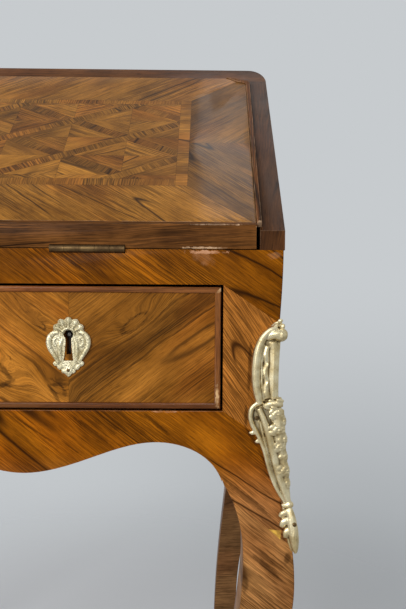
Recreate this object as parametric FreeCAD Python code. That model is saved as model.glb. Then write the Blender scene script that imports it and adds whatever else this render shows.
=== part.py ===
import FreeCAD, Part
import math
import os

# Slant-front writing desk on cabriole legs, in millimetres.
# X runs to the sitter's right, Y to the back and Z up from the floor.
# The desk is drawn with Y = 0 on the plane of its drawer fronts. At the end it is moved so that
# the origin lies on the floor under the middle of its bounding box.

Vec = FreeCAD.Vector

# Case
CASE_WIDTH = 695.0
CASE_DEPTH = 420.0
WRITING_HEIGHT = 705.0
POST_SIZE = 54.5
SIDE_THICK = 24.5
BED_THICK = 20.0
BACK_THICK = 14.0
BACK_DROP = 165.0
RAIL_HEIGHT = 31.8
RAIL_DEPTH = 25.0
STILE_WIDTH = 25.0
STILE_DEPTH = 45.0
APRON_DEPTH = 22.0
OPENING_HEIGHT = 115.5

# Lower edge of the apron: how far each turning point lies below the writing level and stands in
# from the leg post. The haunch rises from the joint with the post.
POST_JOINT_DROP = 213.0
HAUNCH_RISE = 20.0
HAUNCH_SETBACK = 13.0
ARCH_DROP = 176.7
ARCH_SETBACK = 54.0
LOBE_DROP = 205.3
LOBE_SETBACK = 186.0
CENTRE_DROP = 179.0
SIDE_LOBE_DROP = 190.0

# Cabriole leg: heights, insets from the post's outer faces, and widths
WAIST_DROP = 122.0
WAIST_INSET = 5.5
SHOULDER_DROP = 201.0
KNEE_DROP = 322.0
KNEE_SWELL = 11.0
KNEE_WIDTH = 48.4
HOLLOW_DROP = 254.0
HOLLOW_INSET = 37.4
CALF_HEIGHT = 265.0
CALF_INSET = 17.5
CALF_WIDTH = 33.5
ANKLE_HEIGHT = 130.0
ANKLE_INSET = 21.5
ANKLE_WIDTH = 35.5
TOE_INSET = 6.5
TOE_WIDTH = 45.0

# Bronze shoes and knee mounts
SABOT_HEIGHT = 42.0
SABOT_SOLE = 3.0
SABOT_WALL = 2.2
CHUTE_THICK = 6.5
CHUTE_DROP = 64.0
CHUTE_HEIGHT = 212.0
CHUTE_SPREAD = 33.0

# Slanted top
SLOPE = 42.0
FALL_LENGTH = 312.0
FALL_THICK = 17.0
FALL_CLEAR = 0.4
FALL_SIDE_GAP = 3.5
LIPPING_DEPTH = 2.5
CLIP_WIDTH = 24.0
CLIP_HEIGHT = 17.0
CHEEK_THICK = 22.5
CHEEK_PROUD = 1.0
CHEEK_SINK = 4.0
EAR_THICK = 11.0
BEAD_WIDTH = 4.5
BEAD_GAP = 0.5
BEAD_PROUD = 0.8
BEAD_START = 17.0
TOP_GAP = 1.5
TOP_BAND = 30.0
TOP_OVERHANG = 3.0
TOP_ROUND = 0.7 * TOP_BAND
LEATHER_THICK = 1.2
LEATHER_MARGIN = 40.0

# Butt hinges
HINGE_X = 169.5
HINGE_LENGTH = 68.0
LEAF_WIDTH = 24.0
LEAF_THICK = 2.0
BARREL_RADIUS = 3.3
BARREL_CLEAR = 0.5
KNUCKLES = 5
KNUCKLE_GAP = 0.3
PIN_RADIUS = 1.5
PIN_CLEAR = 0.05
SCREW_SPREAD = 22.0
SCREW_INSET = 15.0
SCREW_LENGTH = 11.0
SCREW_RADIUS = 1.3
SCREW_HEAD_RADIUS = 3.0
SCREW_HEAD_DEPTH = 1.6

# Slotted stays that hold the open fall level
STAY_RADIUS = 90.0
STAY_DROP = 7.0
STUD_ANGLE = 25.0
STAY_WALL_GAP = 9.0
STAY_THICK = 3.0
STAY_HALF_WIDTH = 6.0
STUD_RADIUS = 2.5
STUD_HEAD_RADIUS = 4.5
STUD_HEAD_THICK = 1.8
STUD_FLANGE_RADIUS = 7.0
STUD_FLANGE_THICK = 2.0
SLOT_CLEAR = 0.3
PIVOT_RADIUS = 2.0
LUG_THICK = 5.0
LUG_GAP = 2.0
LUG_HALF = 5.0
PIVOT_HEAD_RADIUS = 4.0

# Main drawers
DRAWER_GAP = 2.2
DRAWER_FRONT = 20.0
DRAWER_SIDE = 9.0
DRAWER_SIDE_INSET = 1.0
DRAWER_SIDE_DROP = 4.0
DRAWER_BACK = 8.0
DRAWER_BACK_DROP = 16.0
DRAWER_BOTTOM = 6.0
DRAWER_BOTTOM_LIFT = 5.0
DRAWER_END_GAP = 12.0
GROOVE_DEPTH = 4.0
RUN_CLEAR = 0.3
COCK_WIDTH = 5.5
COCK_DEPTH = 6.0
COCK_PROUD = 2.0
COCK_ROUND = 0.95 * COCK_PROUD
TAIL_LENGTH = 13.0
TAIL_COUNT = 4
TAIL_NECK = 12.0
TAIL_FLARE = 2.5
RUNNER_THICK = 18.0
RUNNER_WIDTH = 45.0
GUIDE_HEIGHT = 20.0
CENTRE_GUIDE_HEIGHT = 40.0

# Locks and escutcheons
LOCK_WIDTH = 64.0
LOCK_LENGTH = 62.0
LOCK_DEPTH = 8.0
LOCK_EDGE = 4.0
KEY_DROP = 40.0
KEY_PIN_RADIUS = 1.5
KEY_PIN_SETBACK = 3.0
KEYHOLE_RADIUS = 4.5
KEYHOLE_HALF_SLOT = 2.2
KEYHOLE_SLOT = 18.0
KEYHOLE_RIM = 1.0
KEYHOLE_TONGUE = 6.0
BOLT_WIDTH = 18.0
BOLT_LENGTH = 22.0
BOLT_THICK = 3.0
BOLT_LIFT = 2.5
BOLT_CLEAR = 0.3
BOLT_THROW = 7.5
MORTISE_ROOM = 2.0
ESCUTCHEON_THICK = 2.5
ESCUTCHEON_DROP = 11.2
ESCUTCHEON_HALF_WIDTH = 20.5
ESCUTCHEON_HALF_HEIGHT = 27.5

# Pigeonhole nest
NEST_SETBACK = 222.0
NEST_HEIGHT = 75.0
NEST_BOARD = 8.0
NEST_DRAWER_WIDTH = 150.0
NEST_DRAWER_CLEAR = 1.0
NEST_DRAWER_WALL = 6.0
NEST_DRAWER_FRONT = 10.0
NEST_DRAWER_BOTTOM = 5.0
NEST_DRAWER_END_GAP = 14.0
KNOB_RADIUS = 6.0
KNOB_STEM_RADIUS = 2.8
KNOB_STEM = 7.0
KNOB_TANG_RADIUS = 2.0
KNOB_TANG = 8.0

# Places that follow from the sizes above
POST_OUTER = CASE_WIDTH / 2
POST_INNER = POST_OUTER - POST_SIZE
SIDE_INNER = POST_OUTER - SIDE_THICK
CHEEK_OUTER = POST_OUTER + CHEEK_PROUD
CHEEK_INNER = CHEEK_OUTER - CHEEK_THICK
FALL_HALF = CHEEK_INNER - FALL_SIDE_GAP
BACK_FACE = CASE_DEPTH - BACK_THICK
OPENING_TOP = WRITING_HEIGHT - RAIL_HEIGHT
OPENING_LOW = OPENING_TOP - OPENING_HEIGHT
OPENING_INNER = STILE_WIDTH / 2
RISE = math.sin(math.radians(SLOPE))
RUN = math.cos(math.radians(SLOPE))
OPEN_ANGLE = 180.0 - SLOPE
FALL_BOTTOM = 2 * FALL_CLEAR
TOP_EDGE = FALL_LENGTH + TOP_GAP
FRAME_FACE = FALL_THICK - CHEEK_SINK
TOP_LEVEL = WRITING_HEIGHT + (TOP_EDGE + TOP_BAND) * RISE + FRAME_FACE * RUN
TOP_UNDER = WRITING_HEIGHT + TOP_EDGE * RISE
DRAWER_LEFT = OPENING_INNER + DRAWER_GAP
DRAWER_RIGHT = POST_INNER - DRAWER_GAP
DRAWER_LOW = OPENING_LOW + DRAWER_GAP
DRAWER_TOP = OPENING_TOP - DRAWER_GAP
DRAWER_CENTRE = (DRAWER_LEFT + DRAWER_RIGHT) / 2
DRAWER_END = BACK_FACE - DRAWER_END_GAP
STAY_X = CHEEK_INNER - STAY_WALL_GAP
NEST_UNDER = WRITING_HEIGHT + NEST_HEIGHT
NEST_DIVIDER_X = 1.5 * NEST_BOARD + NEST_DRAWER_WIDTH + 2 * NEST_DRAWER_CLEAR
REACH = CASE_DEPTH / 2
TOUCH = 0.01


def box(x0, x1, y0, y1, z0, z1):
    return Part.makeBox(x1 - x0, y1 - y0, z1 - z0, Vec(x0, y0, z0))


def rod_x(x0, x1, y, z, radius):
    return Part.makeCylinder(radius, x1 - x0, Vec(x0, y, z), Vec(1, 0, 0))


def prism_x(points, x0, x1):
    """Prism along X of a polygon given as (y, z) points."""
    corners = [Vec(x0, y, z) for y, z in points]
    face = Part.Face(Part.makePolygon(corners + corners[:1]))
    return face.extrude(Vec(x1 - x0, 0, 0))


def mirrored(shape):
    return shape.mirror(Vec(0, 0, 0), Vec(1, 0, 0))


def tilt(shape):
    """Moves a shape drawn flat (Y up the slope, Z out of the slope) on to the slope."""
    turned = shape.copy()
    turned.rotate(Vec(0, 0, 0), Vec(1, 0, 0), SLOPE)
    turned.translate(Vec(0, 0, WRITING_HEIGHT))
    return turned


def slope_point(along, out):
    """Y and Z of a point this far up the slope from the hinge axis and this far out of it."""
    return along * RUN - out * RISE, WRITING_HEIGHT + along * RISE + out * RUN


def spline(points):
    curve = Part.BSplineCurve()
    curve.interpolate(points)
    return curve.toShape()


def guided_spline(points, start, end):
    curve = Part.BSplineCurve()
    curve.interpolate(Points=points, InitialTangent=start, FinalTangent=end)
    return curve.toShape()


def line(start, end):
    return Part.makeLine(start, end)


def slab(edges, direction):
    face = Part.Face(Part.Wire(Part.__sortEdges__(edges)))
    return face.extrude(direction)


def below(drop):
    return WRITING_HEIGHT - drop


# Legs

def leg_profile(place, waist, grow):
    """Edges of a leg seen square on. place puts an inset and a height into space."""
    head = place(-grow, WRITING_HEIGHT)
    shoulder = place(-grow, below(SHOULDER_DROP))
    toe = place(TOE_INSET - grow, 0)
    lower = [
        place(-KNEE_SWELL - grow, below(KNEE_DROP)),
        place(CALF_INSET - grow, CALF_HEIGHT),
        place(ANKLE_INSET - grow, ANKLE_HEIGHT),
        toe,
    ]
    down = place(0, 0) - place(0, 1)
    last = toe - lower[-2]
    if waist:
        middle = place(waist - grow, below(WAIST_DROP))
        outer = [guided_spline([head, middle, shoulder] + lower, down, last)]
    else:
        outer = [line(head, shoulder), guided_spline([shoulder] + lower, down, last)]
    heel = place(TOE_INSET + TOE_WIDTH + grow, 0)
    joint = place(POST_SIZE + grow, below(POST_JOINT_DROP))
    corner = place(POST_SIZE + grow, WRITING_HEIGHT)
    inner = [
        joint,
        place(HOLLOW_INSET + grow, below(HOLLOW_DROP)),
        place(KNEE_WIDTH - KNEE_SWELL + grow, below(KNEE_DROP)),
        place(CALF_INSET + CALF_WIDTH + grow, CALF_HEIGHT),
        place(ANKLE_INSET + ANKLE_WIDTH + grow, ANKLE_HEIGHT),
        heel,
    ]
    return outer + [line(toe, heel), spline(inner), line(joint, corner), line(corner, head)]


def leg_block(grow, low, high):
    """Right front leg: what a front outline and a side outline have in common."""
    def on_front(inset, height):
        return Vec(POST_OUTER - inset, -REACH, height)

    def on_side(inset, height):
        return Vec(POST_OUTER - REACH, inset, height)

    front = slab(leg_profile(on_front, WAIST_INSET, grow), Vec(0, 2 * REACH, 0))
    side = slab(leg_profile(on_side, 0, grow), Vec(2 * REACH, 0, 0))
    room = box(0, POST_OUTER + REACH, -REACH, REACH, low, high)
    return front.common(side).common(room)


def to_back(shape):
    return shape.mirror(Vec(0, CASE_DEPTH / 2, 0), Vec(0, 1, 0))


def sabot():
    shoe = leg_block(SABOT_WALL, 0, SABOT_HEIGHT)
    return shoe.cut(leg_block(0, SABOT_SOLE, SABOT_HEIGHT))


def chute_mask(place, direction):
    """Outline of the knee mount on one face of the leg, from its finial down to its tip."""
    shaft = [(0.09, 0), (0.42, 0.033), (0.79, 0.12), (0.88, 0.22), (0.85, 0.3), (0.73, 0.36)]
    volute = [(0.73, 0.36), (0.94, 0.38), (1, 0.425), (0.88, 0.48), (0.73, 0.525)]
    tail = [(0.73, 0.525), (0.42, 0.63), (0.12, 0.76), (-0.03, 0.83), (0, 0.9), (-0.15, 1)]

    def on_outline(across, down):
        return place(across * CHUTE_SPREAD, below(CHUTE_DROP + down * CHUTE_HEIGHT))

    edges = []
    for run in (shaft, volute, tail):
        edges.append(spline([on_outline(across, down) for across, down in run]))
    top = place(-REACH, below(CHUTE_DROP))
    end = place(-REACH, below(CHUTE_DROP + CHUTE_HEIGHT))
    edges.append(line(on_outline(*shaft[0]), top))
    edges.append(line(top, end))
    edges.append(line(end, on_outline(*tail[-1])))
    return slab(edges, direction)


def chute():
    def on_front(inset, height):
        return Vec(POST_OUTER - inset, -REACH, height)

    def on_side(inset, height):
        return Vec(POST_OUTER - REACH, inset, height)

    shell = leg_block(CHUTE_THICK, ANKLE_HEIGHT, OPENING_TOP).cut(leg_block(0, 0, WRITING_HEIGHT))
    front = chute_mask(on_front, Vec(0, 2 * REACH, 0))
    side = chute_mask(on_side, Vec(2 * REACH, 0, 0))
    return shell.common(front).common(side)


# Case boards

def side_panel():
    """Board between the posts, its outer face in line with the legs' outer faces."""
    def on_front(inset, height):
        return Vec(POST_OUTER - inset, 0, height)

    sheet = slab(leg_profile(on_front, WAIST_INSET, 0), Vec(0, CASE_DEPTH, 0))
    sheet = sheet.common(box(SIDE_INNER, POST_OUTER + REACH, 0, CASE_DEPTH, 0, WRITING_HEIGHT))
    front = POST_SIZE
    rear = CASE_DEPTH - POST_SIZE
    middle = CASE_DEPTH / 2

    def at(depth, height):
        return Vec(SIDE_INNER - SIDE_THICK, depth, height)

    lower = spline([
        at(front, below(POST_JOINT_DROP)),
        at(front + HAUNCH_SETBACK, below(POST_JOINT_DROP - HAUNCH_RISE)),
        at(front + ARCH_SETBACK, below(ARCH_DROP)),
        at(middle, below(SIDE_LOBE_DROP)),
        at(rear - ARCH_SETBACK, below(ARCH_DROP)),
        at(rear - HAUNCH_SETBACK, below(POST_JOINT_DROP - HAUNCH_RISE)),
        at(rear, below(POST_JOINT_DROP)),
    ])
    edges = [
        lower,
        line(at(rear, below(POST_JOINT_DROP)), at(rear, WRITING_HEIGHT)),
        line(at(rear, WRITING_HEIGHT), at(front, WRITING_HEIGHT)),
        line(at(front, WRITING_HEIGHT), at(front, below(POST_JOINT_DROP))),
    ]
    return sheet.common(slab(edges, Vec(REACH, 0, 0)))


def front_apron():
    def at(x, drop):
        return Vec(x, 0, below(drop))

    half = [
        (POST_INNER, POST_JOINT_DROP),
        (POST_INNER - HAUNCH_SETBACK, POST_JOINT_DROP - HAUNCH_RISE),
        (POST_INNER - ARCH_SETBACK, ARCH_DROP),
        (POST_INNER - (ARCH_SETBACK + LOBE_SETBACK) / 2, (ARCH_DROP + LOBE_DROP) / 2),
        (POST_INNER - LOBE_SETBACK, LOBE_DROP),
    ]
    points = [at(x, drop) for x, drop in half]
    points.append(at(0, CENTRE_DROP))
    points += [at(-x, drop) for x, drop in reversed(half)]
    right_top = Vec(POST_INNER, 0, OPENING_LOW)
    left_top = Vec(-POST_INNER, 0, OPENING_LOW)
    edges = [
        spline(points),
        line(points[-1], left_top),
        line(left_top, right_top),
        line(right_top, points[0]),
    ]
    return slab(edges, Vec(0, APRON_DEPTH, 0))


def front_rail():
    rail = box(-POST_INNER, POST_INNER, 0, RAIL_DEPTH, OPENING_TOP, WRITING_HEIGHT)
    rail = rail.cut(hinge_room())
    for side in (seat_on_drawer, seat_on_left_drawer):
        rail = rail.cut(side(bolt_mortise(DRAWER_GAP)))
    return rail


def stay_sweep():
    """Y range in which the tails of the stays cross the thickness of the bed."""
    crossings = []
    for opening in range(0, int(OPEN_ANGLE) + 1, 2):
        pivot_y, pivot_z, along_y, along_z = stay_line(opening)
        for step in range(0, int(stay_end()) + 1, 2):
            height = pivot_z + step * along_z
            if -BED_THICK - 2 * STAY_HALF_WIDTH < height < 2 * STAY_HALF_WIDTH:
                crossings.append(pivot_y + step * along_y)
    behind = [y for y in crossings if y > RAIL_DEPTH + STAY_RADIUS / 2]
    return min(behind) - 2 * STAY_HALF_WIDTH, max(behind) + 2 * STAY_HALF_WIDTH


def writing_bed():
    low = WRITING_HEIGHT - BED_THICK
    bed = box(-SIDE_INNER, SIDE_INNER, RAIL_DEPTH, BACK_FACE, low, WRITING_HEIGHT)
    notch_front, notch_back = stay_sweep()
    notch_inner = STAY_X - STAY_THICK - STUD_HEAD_THICK - 2 * STUD_FLANGE_THICK
    for sign in (-1, 1):
        for post_y in (0, CASE_DEPTH - POST_SIZE):
            post_x = sign * (POST_INNER + POST_OUTER) / 2
            post = box(-POST_SIZE / 2, POST_SIZE / 2, post_y, post_y + POST_SIZE, 0, WRITING_HEIGHT)
            post.translate(Vec(post_x, 0, 0))
            bed = bed.cut(post)
        x0, x1 = sorted((sign * notch_inner, sign * POST_OUTER))
        bed = bed.cut(box(x0, x1, notch_front, notch_back, low, WRITING_HEIGHT))
    return bed.cut(hinge_room())


def back_panel():
    lower = box(-POST_INNER, POST_INNER, BACK_FACE, CASE_DEPTH, below(BACK_DROP), WRITING_HEIGHT)
    upper = box(-CHEEK_INNER, CHEEK_INNER, BACK_FACE, CASE_DEPTH, WRITING_HEIGHT, TOP_UNDER)
    return lower.fuse(upper).removeSplitter()


def runner_frame():
    """Glued frame that carries the drawers, with a guide strip along each side panel."""
    low = OPENING_LOW - RUNNER_THICK
    frame = box(-POST_INNER, POST_INNER, APRON_DEPTH, BACK_FACE, low, OPENING_LOW)
    rear = CASE_DEPTH - POST_SIZE
    frame = frame.fuse(box(-SIDE_INNER, SIDE_INNER, POST_SIZE, rear, low, OPENING_LOW))
    hole_inner = RUNNER_WIDTH / 2
    hole_outer = POST_INNER - RUNNER_WIDTH / 2
    hole_front = APRON_DEPTH + RUNNER_WIDTH
    hole_back = BACK_FACE - RUNNER_WIDTH
    guide_top = OPENING_LOW + GUIDE_HEIGHT
    hole = box(hole_inner, hole_outer, hole_front, hole_back, low, OPENING_LOW)
    guide = box(POST_INNER, SIDE_INNER, POST_SIZE, rear, OPENING_LOW, guide_top)
    for piece in (guide, mirrored(guide)):
        frame = frame.fuse(piece)
    for gap in (hole, mirrored(hole)):
        frame = frame.cut(gap)
    return frame.removeSplitter()


def centre_stile():
    half = STILE_WIDTH / 2
    return box(-half, half, 0, STILE_DEPTH, OPENING_LOW, OPENING_TOP)


def centre_guide():
    half = STILE_WIDTH / 2
    return box(-half, half, STILE_DEPTH, BACK_FACE, OPENING_LOW, OPENING_LOW + CENTRE_GUIDE_HEIGHT)


# Slanted top

def clip_curve(shift, height):
    """S-curve across the fall's upper corner, moved outwards by shift, drawn flat."""
    x0 = FALL_HALF - CLIP_WIDTH + shift
    x1 = FALL_HALF + shift
    y0 = FALL_LENGTH + shift
    y1 = FALL_LENGTH - CLIP_HEIGHT + shift
    start = Vec(x0, y0, height)
    bend = Vec((x0 + x1) / 2, (y0 + y1) / 2, height)
    end = Vec(x1, y1, height)
    return guided_spline([start, bend, end], Vec(1, -0.2, 0), Vec(0.2, -1, 0)), start, end


def corner_room(shift):
    """Everything outside the S-curve at the right upper corner, from below to above the fall."""
    curve, start, end = clip_curve(shift, -FALL_THICK)
    far = FALL_HALF + REACH
    high = FALL_LENGTH + REACH
    a = Vec(far, end.y, end.z)
    b = Vec(far, high, end.z)
    c = Vec(start.x, high, end.z)
    edges = [curve, line(end, a), line(a, b), line(b, c), line(c, start)]
    return slab(edges, Vec(0, 0, 3 * FALL_THICK))


def cheek():
    board = prism_x([
        (0, WRITING_HEIGHT),
        (0, WRITING_HEIGHT + FRAME_FACE / RUN),
        slope_point(TOP_EDGE, FRAME_FACE),
        slope_point(TOP_EDGE, 0),
        (CASE_DEPTH, TOP_UNDER),
        (CASE_DEPTH, WRITING_HEIGHT),
    ], CHEEK_INNER, CHEEK_OUTER)
    low = FALL_LENGTH - CLIP_HEIGHT
    under = FRAME_FACE - EAR_THICK
    ear = box(FALL_HALF - CLIP_WIDTH, CHEEK_INNER, low, TOP_EDGE, under, FRAME_FACE)
    ear = tilt(ear.common(corner_room(TOP_GAP)))
    return board.fuse(ear).removeSplitter()


def cheek_bead():
    """Rounded strip along the cheek's inner edge and round the clipped corner of the fall."""
    high = FALL_THICK + BEAD_PROUD
    inner = FALL_HALF + BEAD_GAP
    outer = inner + BEAD_WIDTH
    turn = FALL_LENGTH - CLIP_HEIGHT + BEAD_GAP
    straight = box(inner, outer, BEAD_START, turn + BEAD_WIDTH, FRAME_FACE, high)
    left = inner - CLIP_WIDTH
    corner = box(left, outer, turn, TOP_EDGE, FRAME_FACE, high).common(corner_room(BEAD_GAP))
    corner = corner.cut(corner_room(BEAD_GAP + BEAD_WIDTH))
    strip = straight.fuse(corner).removeSplitter()
    return tilt(strip)


def top_board():
    back = CASE_DEPTH + TOP_OVERHANG
    board = prism_x([
        slope_point(TOP_EDGE + TOP_BAND, FRAME_FACE),
        slope_point(TOP_EDGE, FRAME_FACE),
        slope_point(TOP_EDGE, 0),
        (back, TOP_UNDER),
        (back, TOP_LEVEL),
    ], -CHEEK_OUTER, CHEEK_OUTER)
    ends = []
    for edge in board.Edges:
        bounds = edge.BoundBox
        if bounds.XLength < TOUCH and bounds.ZMin > TOP_LEVEL - TOUCH:
            ends.append(edge)
    board = board.makeFillet(TOP_ROUND, ends)
    return board.cut(seat_on_fall(bolt_mortise(TOP_GAP)))


def fall_cut(shape):
    """Takes the hinges, the lock and the clipped corners out of a piece of the fall."""
    corner = tilt(corner_room(0))
    lock = seat_on_fall(lock_pocket(fall_wood()))
    for tool in (corner, mirrored(corner), hinge_room(), fall_leaf_room(), lock):
        shape = shape.cut(tool)
    return shape


def fall_wood():
    return FALL_THICK - FALL_CLEAR


def fall_inner_height(depth):
    return WRITING_HEIGHT + (depth * RISE + FALL_CLEAR) / RUN


def fall_outer_height(depth):
    return WRITING_HEIGHT + (depth * RISE + FALL_THICK) / RUN


def fall_panel():
    board = prism_x([
        (LIPPING_DEPTH, fall_inner_height(LIPPING_DEPTH)),
        (LIPPING_DEPTH, fall_outer_height(LIPPING_DEPTH)),
        slope_point(FALL_LENGTH, FALL_THICK),
        slope_point(FALL_LENGTH, FALL_CLEAR),
    ], -FALL_HALF, FALL_HALF)
    return fall_cut(board).cut(fall_leather()).cut(fall_screws())


def fall_lipping():
    """Strip along the lower front edge of the fall, its front face upright."""
    bottom = WRITING_HEIGHT + FALL_BOTTOM
    heel = (FALL_BOTTOM * RUN - FALL_CLEAR) / RISE
    strip = prism_x([
        (0, bottom),
        (0, fall_outer_height(0)),
        (LIPPING_DEPTH, fall_outer_height(LIPPING_DEPTH)),
        (LIPPING_DEPTH, fall_inner_height(LIPPING_DEPTH)),
        (heel, bottom),
    ], -FALL_HALF, FALL_HALF)
    return fall_cut(strip)


def fall_leather():
    half = FALL_HALF - LEATHER_MARGIN
    top = FALL_LENGTH - LOCK_EDGE - LOCK_LENGTH - LEATHER_MARGIN / 4
    return tilt(box(-half, half, LEATHER_MARGIN, top, FALL_CLEAR, FALL_CLEAR + LEATHER_THICK))


# Hinges

def knuckle_spans(first):
    """X ranges of every second knuckle of the right hinge, starting with the given one."""
    pitch = HINGE_LENGTH / KNUCKLES
    start = HINGE_X - HINGE_LENGTH / 2
    spans = []
    for number in range(first, KNUCKLES, 2):
        x0 = start + number * pitch + KNUCKLE_GAP / 2
        spans.append((x0, x0 + pitch - KNUCKLE_GAP))
    return spans


def hinge_leaf(plate, own, other, bore):
    """Plate with its own knuckles, cleared round the other leaf's; drawn about the X axis."""
    leaf = plate
    for x0, x1 in other:
        room = rod_x(x0 - KNUCKLE_GAP, x1 + KNUCKLE_GAP, 0, 0, BARREL_RADIUS + BARREL_CLEAR)
        leaf = leaf.cut(room)
    for x0, x1 in own:
        leaf = leaf.fuse(rod_x(x0, x1, 0, 0, BARREL_RADIUS))
    return leaf.cut(rod_x(0, POST_OUTER, 0, 0, bore)).removeSplitter()


def flat_plate(low):
    half = HINGE_LENGTH / 2
    return box(HINGE_X - half, HINGE_X + half, 0, LEAF_WIDTH, low, low + LEAF_THICK)


def case_leaf():
    leaf = hinge_leaf(flat_plate(-LEAF_THICK), knuckle_spans(0), knuckle_spans(1), PIN_RADIUS)
    leaf.translate(Vec(0, 0, WRITING_HEIGHT))
    return leaf.cut(case_screws())


def fall_leaf():
    bore = PIN_RADIUS + PIN_CLEAR
    leaf = hinge_leaf(flat_plate(FALL_CLEAR), knuckle_spans(1), knuckle_spans(0), bore)
    return tilt(leaf).cut(fall_screws())


def both_sides(shape):
    return Part.makeCompound([shape, mirrored(shape)])


def hinge_room():
    """Grooves round both barrels and the seats of the leaves and screws in the case."""
    half = HINGE_LENGTH / 2 + KNUCKLE_GAP
    radius = BARREL_RADIUS + BARREL_CLEAR
    groove = rod_x(HINGE_X - half, HINGE_X + half, 0, WRITING_HEIGHT, radius)
    seat = flat_plate(-LEAF_THICK)
    seat.translate(Vec(0, 0, WRITING_HEIGHT))
    room = groove.fuse(seat)
    return both_sides(room).fuse(case_screws())


def fall_leaf_room():
    return both_sides(tilt(flat_plate(FALL_CLEAR)))


def hinge_pins():
    half = HINGE_LENGTH / 2
    return both_sides(rod_x(HINGE_X - half, HINGE_X + half, 0, WRITING_HEIGHT, PIN_RADIUS))


def screw(x, y, z, upward):
    """Countersunk screw with its head's flat face at the given point."""
    axis = Vec(0, 0, upward)
    face = Vec(x, y, z)
    head = Part.makeCone(SCREW_HEAD_RADIUS, SCREW_RADIUS, SCREW_HEAD_DEPTH, face, axis)
    shank = Part.makeCylinder(SCREW_RADIUS, SCREW_LENGTH, face, axis)
    return head.fuse(shank).removeSplitter()


def screw_row(z, upward):
    offsets = (-SCREW_SPREAD, 0, SCREW_SPREAD)
    return [screw(HINGE_X + offset, SCREW_INSET, z, upward) for offset in offsets]


def case_screws():
    row = Part.makeCompound(screw_row(0, -1))
    row.translate(Vec(0, 0, WRITING_HEIGHT))
    return both_sides(row)


def fall_screws():
    return both_sides(tilt(Part.makeCompound(screw_row(FALL_CLEAR, 1))))


# Stays

def stay_line(opening):
    """Pivot of the stay, from the hinge axis, and the stay's direction, at an opening angle."""
    start = SLOPE - math.degrees(math.asin(STAY_DROP / STAY_RADIUS))
    pivot = math.radians(start + opening)
    stud_y, stud_z = stud_place()
    pivot_y = STAY_RADIUS * math.cos(pivot)
    pivot_z = STAY_RADIUS * math.sin(pivot)
    length = math.hypot(stud_y - pivot_y, stud_z - pivot_z)
    return pivot_y, pivot_z, (stud_y - pivot_y) / length, (stud_z - pivot_z) / length


def stud_place():
    angle = math.radians(STUD_ANGLE)
    return STAY_RADIUS * math.cos(angle), STAY_RADIUS * math.sin(angle)


def stud_distance(opening):
    stud_y, stud_z = stud_place()
    pivot_y, pivot_z, _, _ = stay_line(opening)
    return math.hypot(stud_y - pivot_y, stud_z - pivot_z)


def stay_end():
    return stud_distance(OPEN_ANGLE) + 2 * STUD_RADIUS


def strip_x(length0, length1, half_width, x0, x1):
    """Flat bar with round ends along Y between two centres."""
    bar = box(x0, x1, length0, length1, -half_width, half_width)
    for centre in (length0, length1):
        bar = bar.fuse(rod_x(x0, x1, centre, 0, half_width))
    return bar.removeSplitter()


def stay():
    pivot_y, pivot_z, along_y, along_z = stay_line(0)
    x1 = STAY_X
    x0 = STAY_X - STAY_THICK
    bar = strip_x(0, stay_end(), STAY_HALF_WIDTH, x0, x1)
    slot_half = STUD_RADIUS + SLOT_CLEAR
    near = stud_distance(0) - STUD_RADIUS
    far = stud_distance(OPEN_ANGLE) + SLOT_CLEAR
    bar = bar.cut(strip_x(near, far, slot_half, x0, x1))
    bar = bar.cut(rod_x(x0, x1, 0, 0, PIVOT_RADIUS + PIN_CLEAR))
    bar.rotate(Vec(0, 0, 0), Vec(1, 0, 0), math.degrees(math.atan2(along_z, along_y)))
    bar.translate(Vec(0, pivot_y, WRITING_HEIGHT + pivot_z))
    return bar


def stay_stud():
    """Headed stud on the cheek, in the slot of the stay."""
    y, z = stud_place()
    z += WRITING_HEIGHT
    head_x = STAY_X - STAY_THICK - SLOT_CLEAR
    flange = rod_x(CHEEK_INNER - STUD_FLANGE_THICK, CHEEK_INNER, y, z, STUD_FLANGE_RADIUS)
    collar = rod_x(STAY_X + SLOT_CLEAR, CHEEK_INNER, y, z, STUD_HEAD_RADIUS)
    shank = rod_x(head_x, CHEEK_INNER, y, z, STUD_RADIUS)
    head = rod_x(head_x - STUD_HEAD_THICK, head_x, y, z, STUD_HEAD_RADIUS)
    return flange.fuse(collar).fuse(shank).fuse(head).removeSplitter()


def stay_pivot():
    """Bracket on the inner face of the fall with the pin on which the stay turns."""
    along = math.sqrt(STAY_RADIUS ** 2 - STAY_DROP ** 2)
    lug_x1 = STAY_X - STAY_THICK - LUG_GAP
    lug_x0 = lug_x1 - LUG_THICK
    plate_x0 = lug_x0 - 2 * LUG_THICK
    plate_half = 2 * LUG_HALF
    plate_under = FALL_CLEAR - LEAF_THICK
    head_x0 = STAY_X + SLOT_CLEAR
    lug = box(lug_x0, lug_x1, along - LUG_HALF, along + LUG_HALF, -STAY_DROP, FALL_CLEAR)
    lug = lug.fuse(rod_x(lug_x0, lug_x1, along, -STAY_DROP, LUG_HALF))
    plate = box(plate_x0, lug_x1, along - plate_half, along + plate_half, plate_under, FALL_CLEAR)
    pin = rod_x(lug_x1, head_x0, along, -STAY_DROP, PIVOT_RADIUS)
    head = rod_x(head_x0, head_x0 + STUD_HEAD_THICK, along, -STAY_DROP, PIVOT_HEAD_RADIUS)
    return tilt(lug.fuse(plate).fuse(pin).fuse(head).removeSplitter())


# Locks, drawn flat: X across, Y along the bolt from the lock's top, Z out towards the front face

def keyhole(low, high, radius, half_slot, slot):
    hole = Part.makeCylinder(radius, high - low, Vec(0, -KEY_DROP, low))
    return hole.fuse(box(-half_slot, half_slot, -KEY_DROP - slot, -KEY_DROP, low, high))


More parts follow.
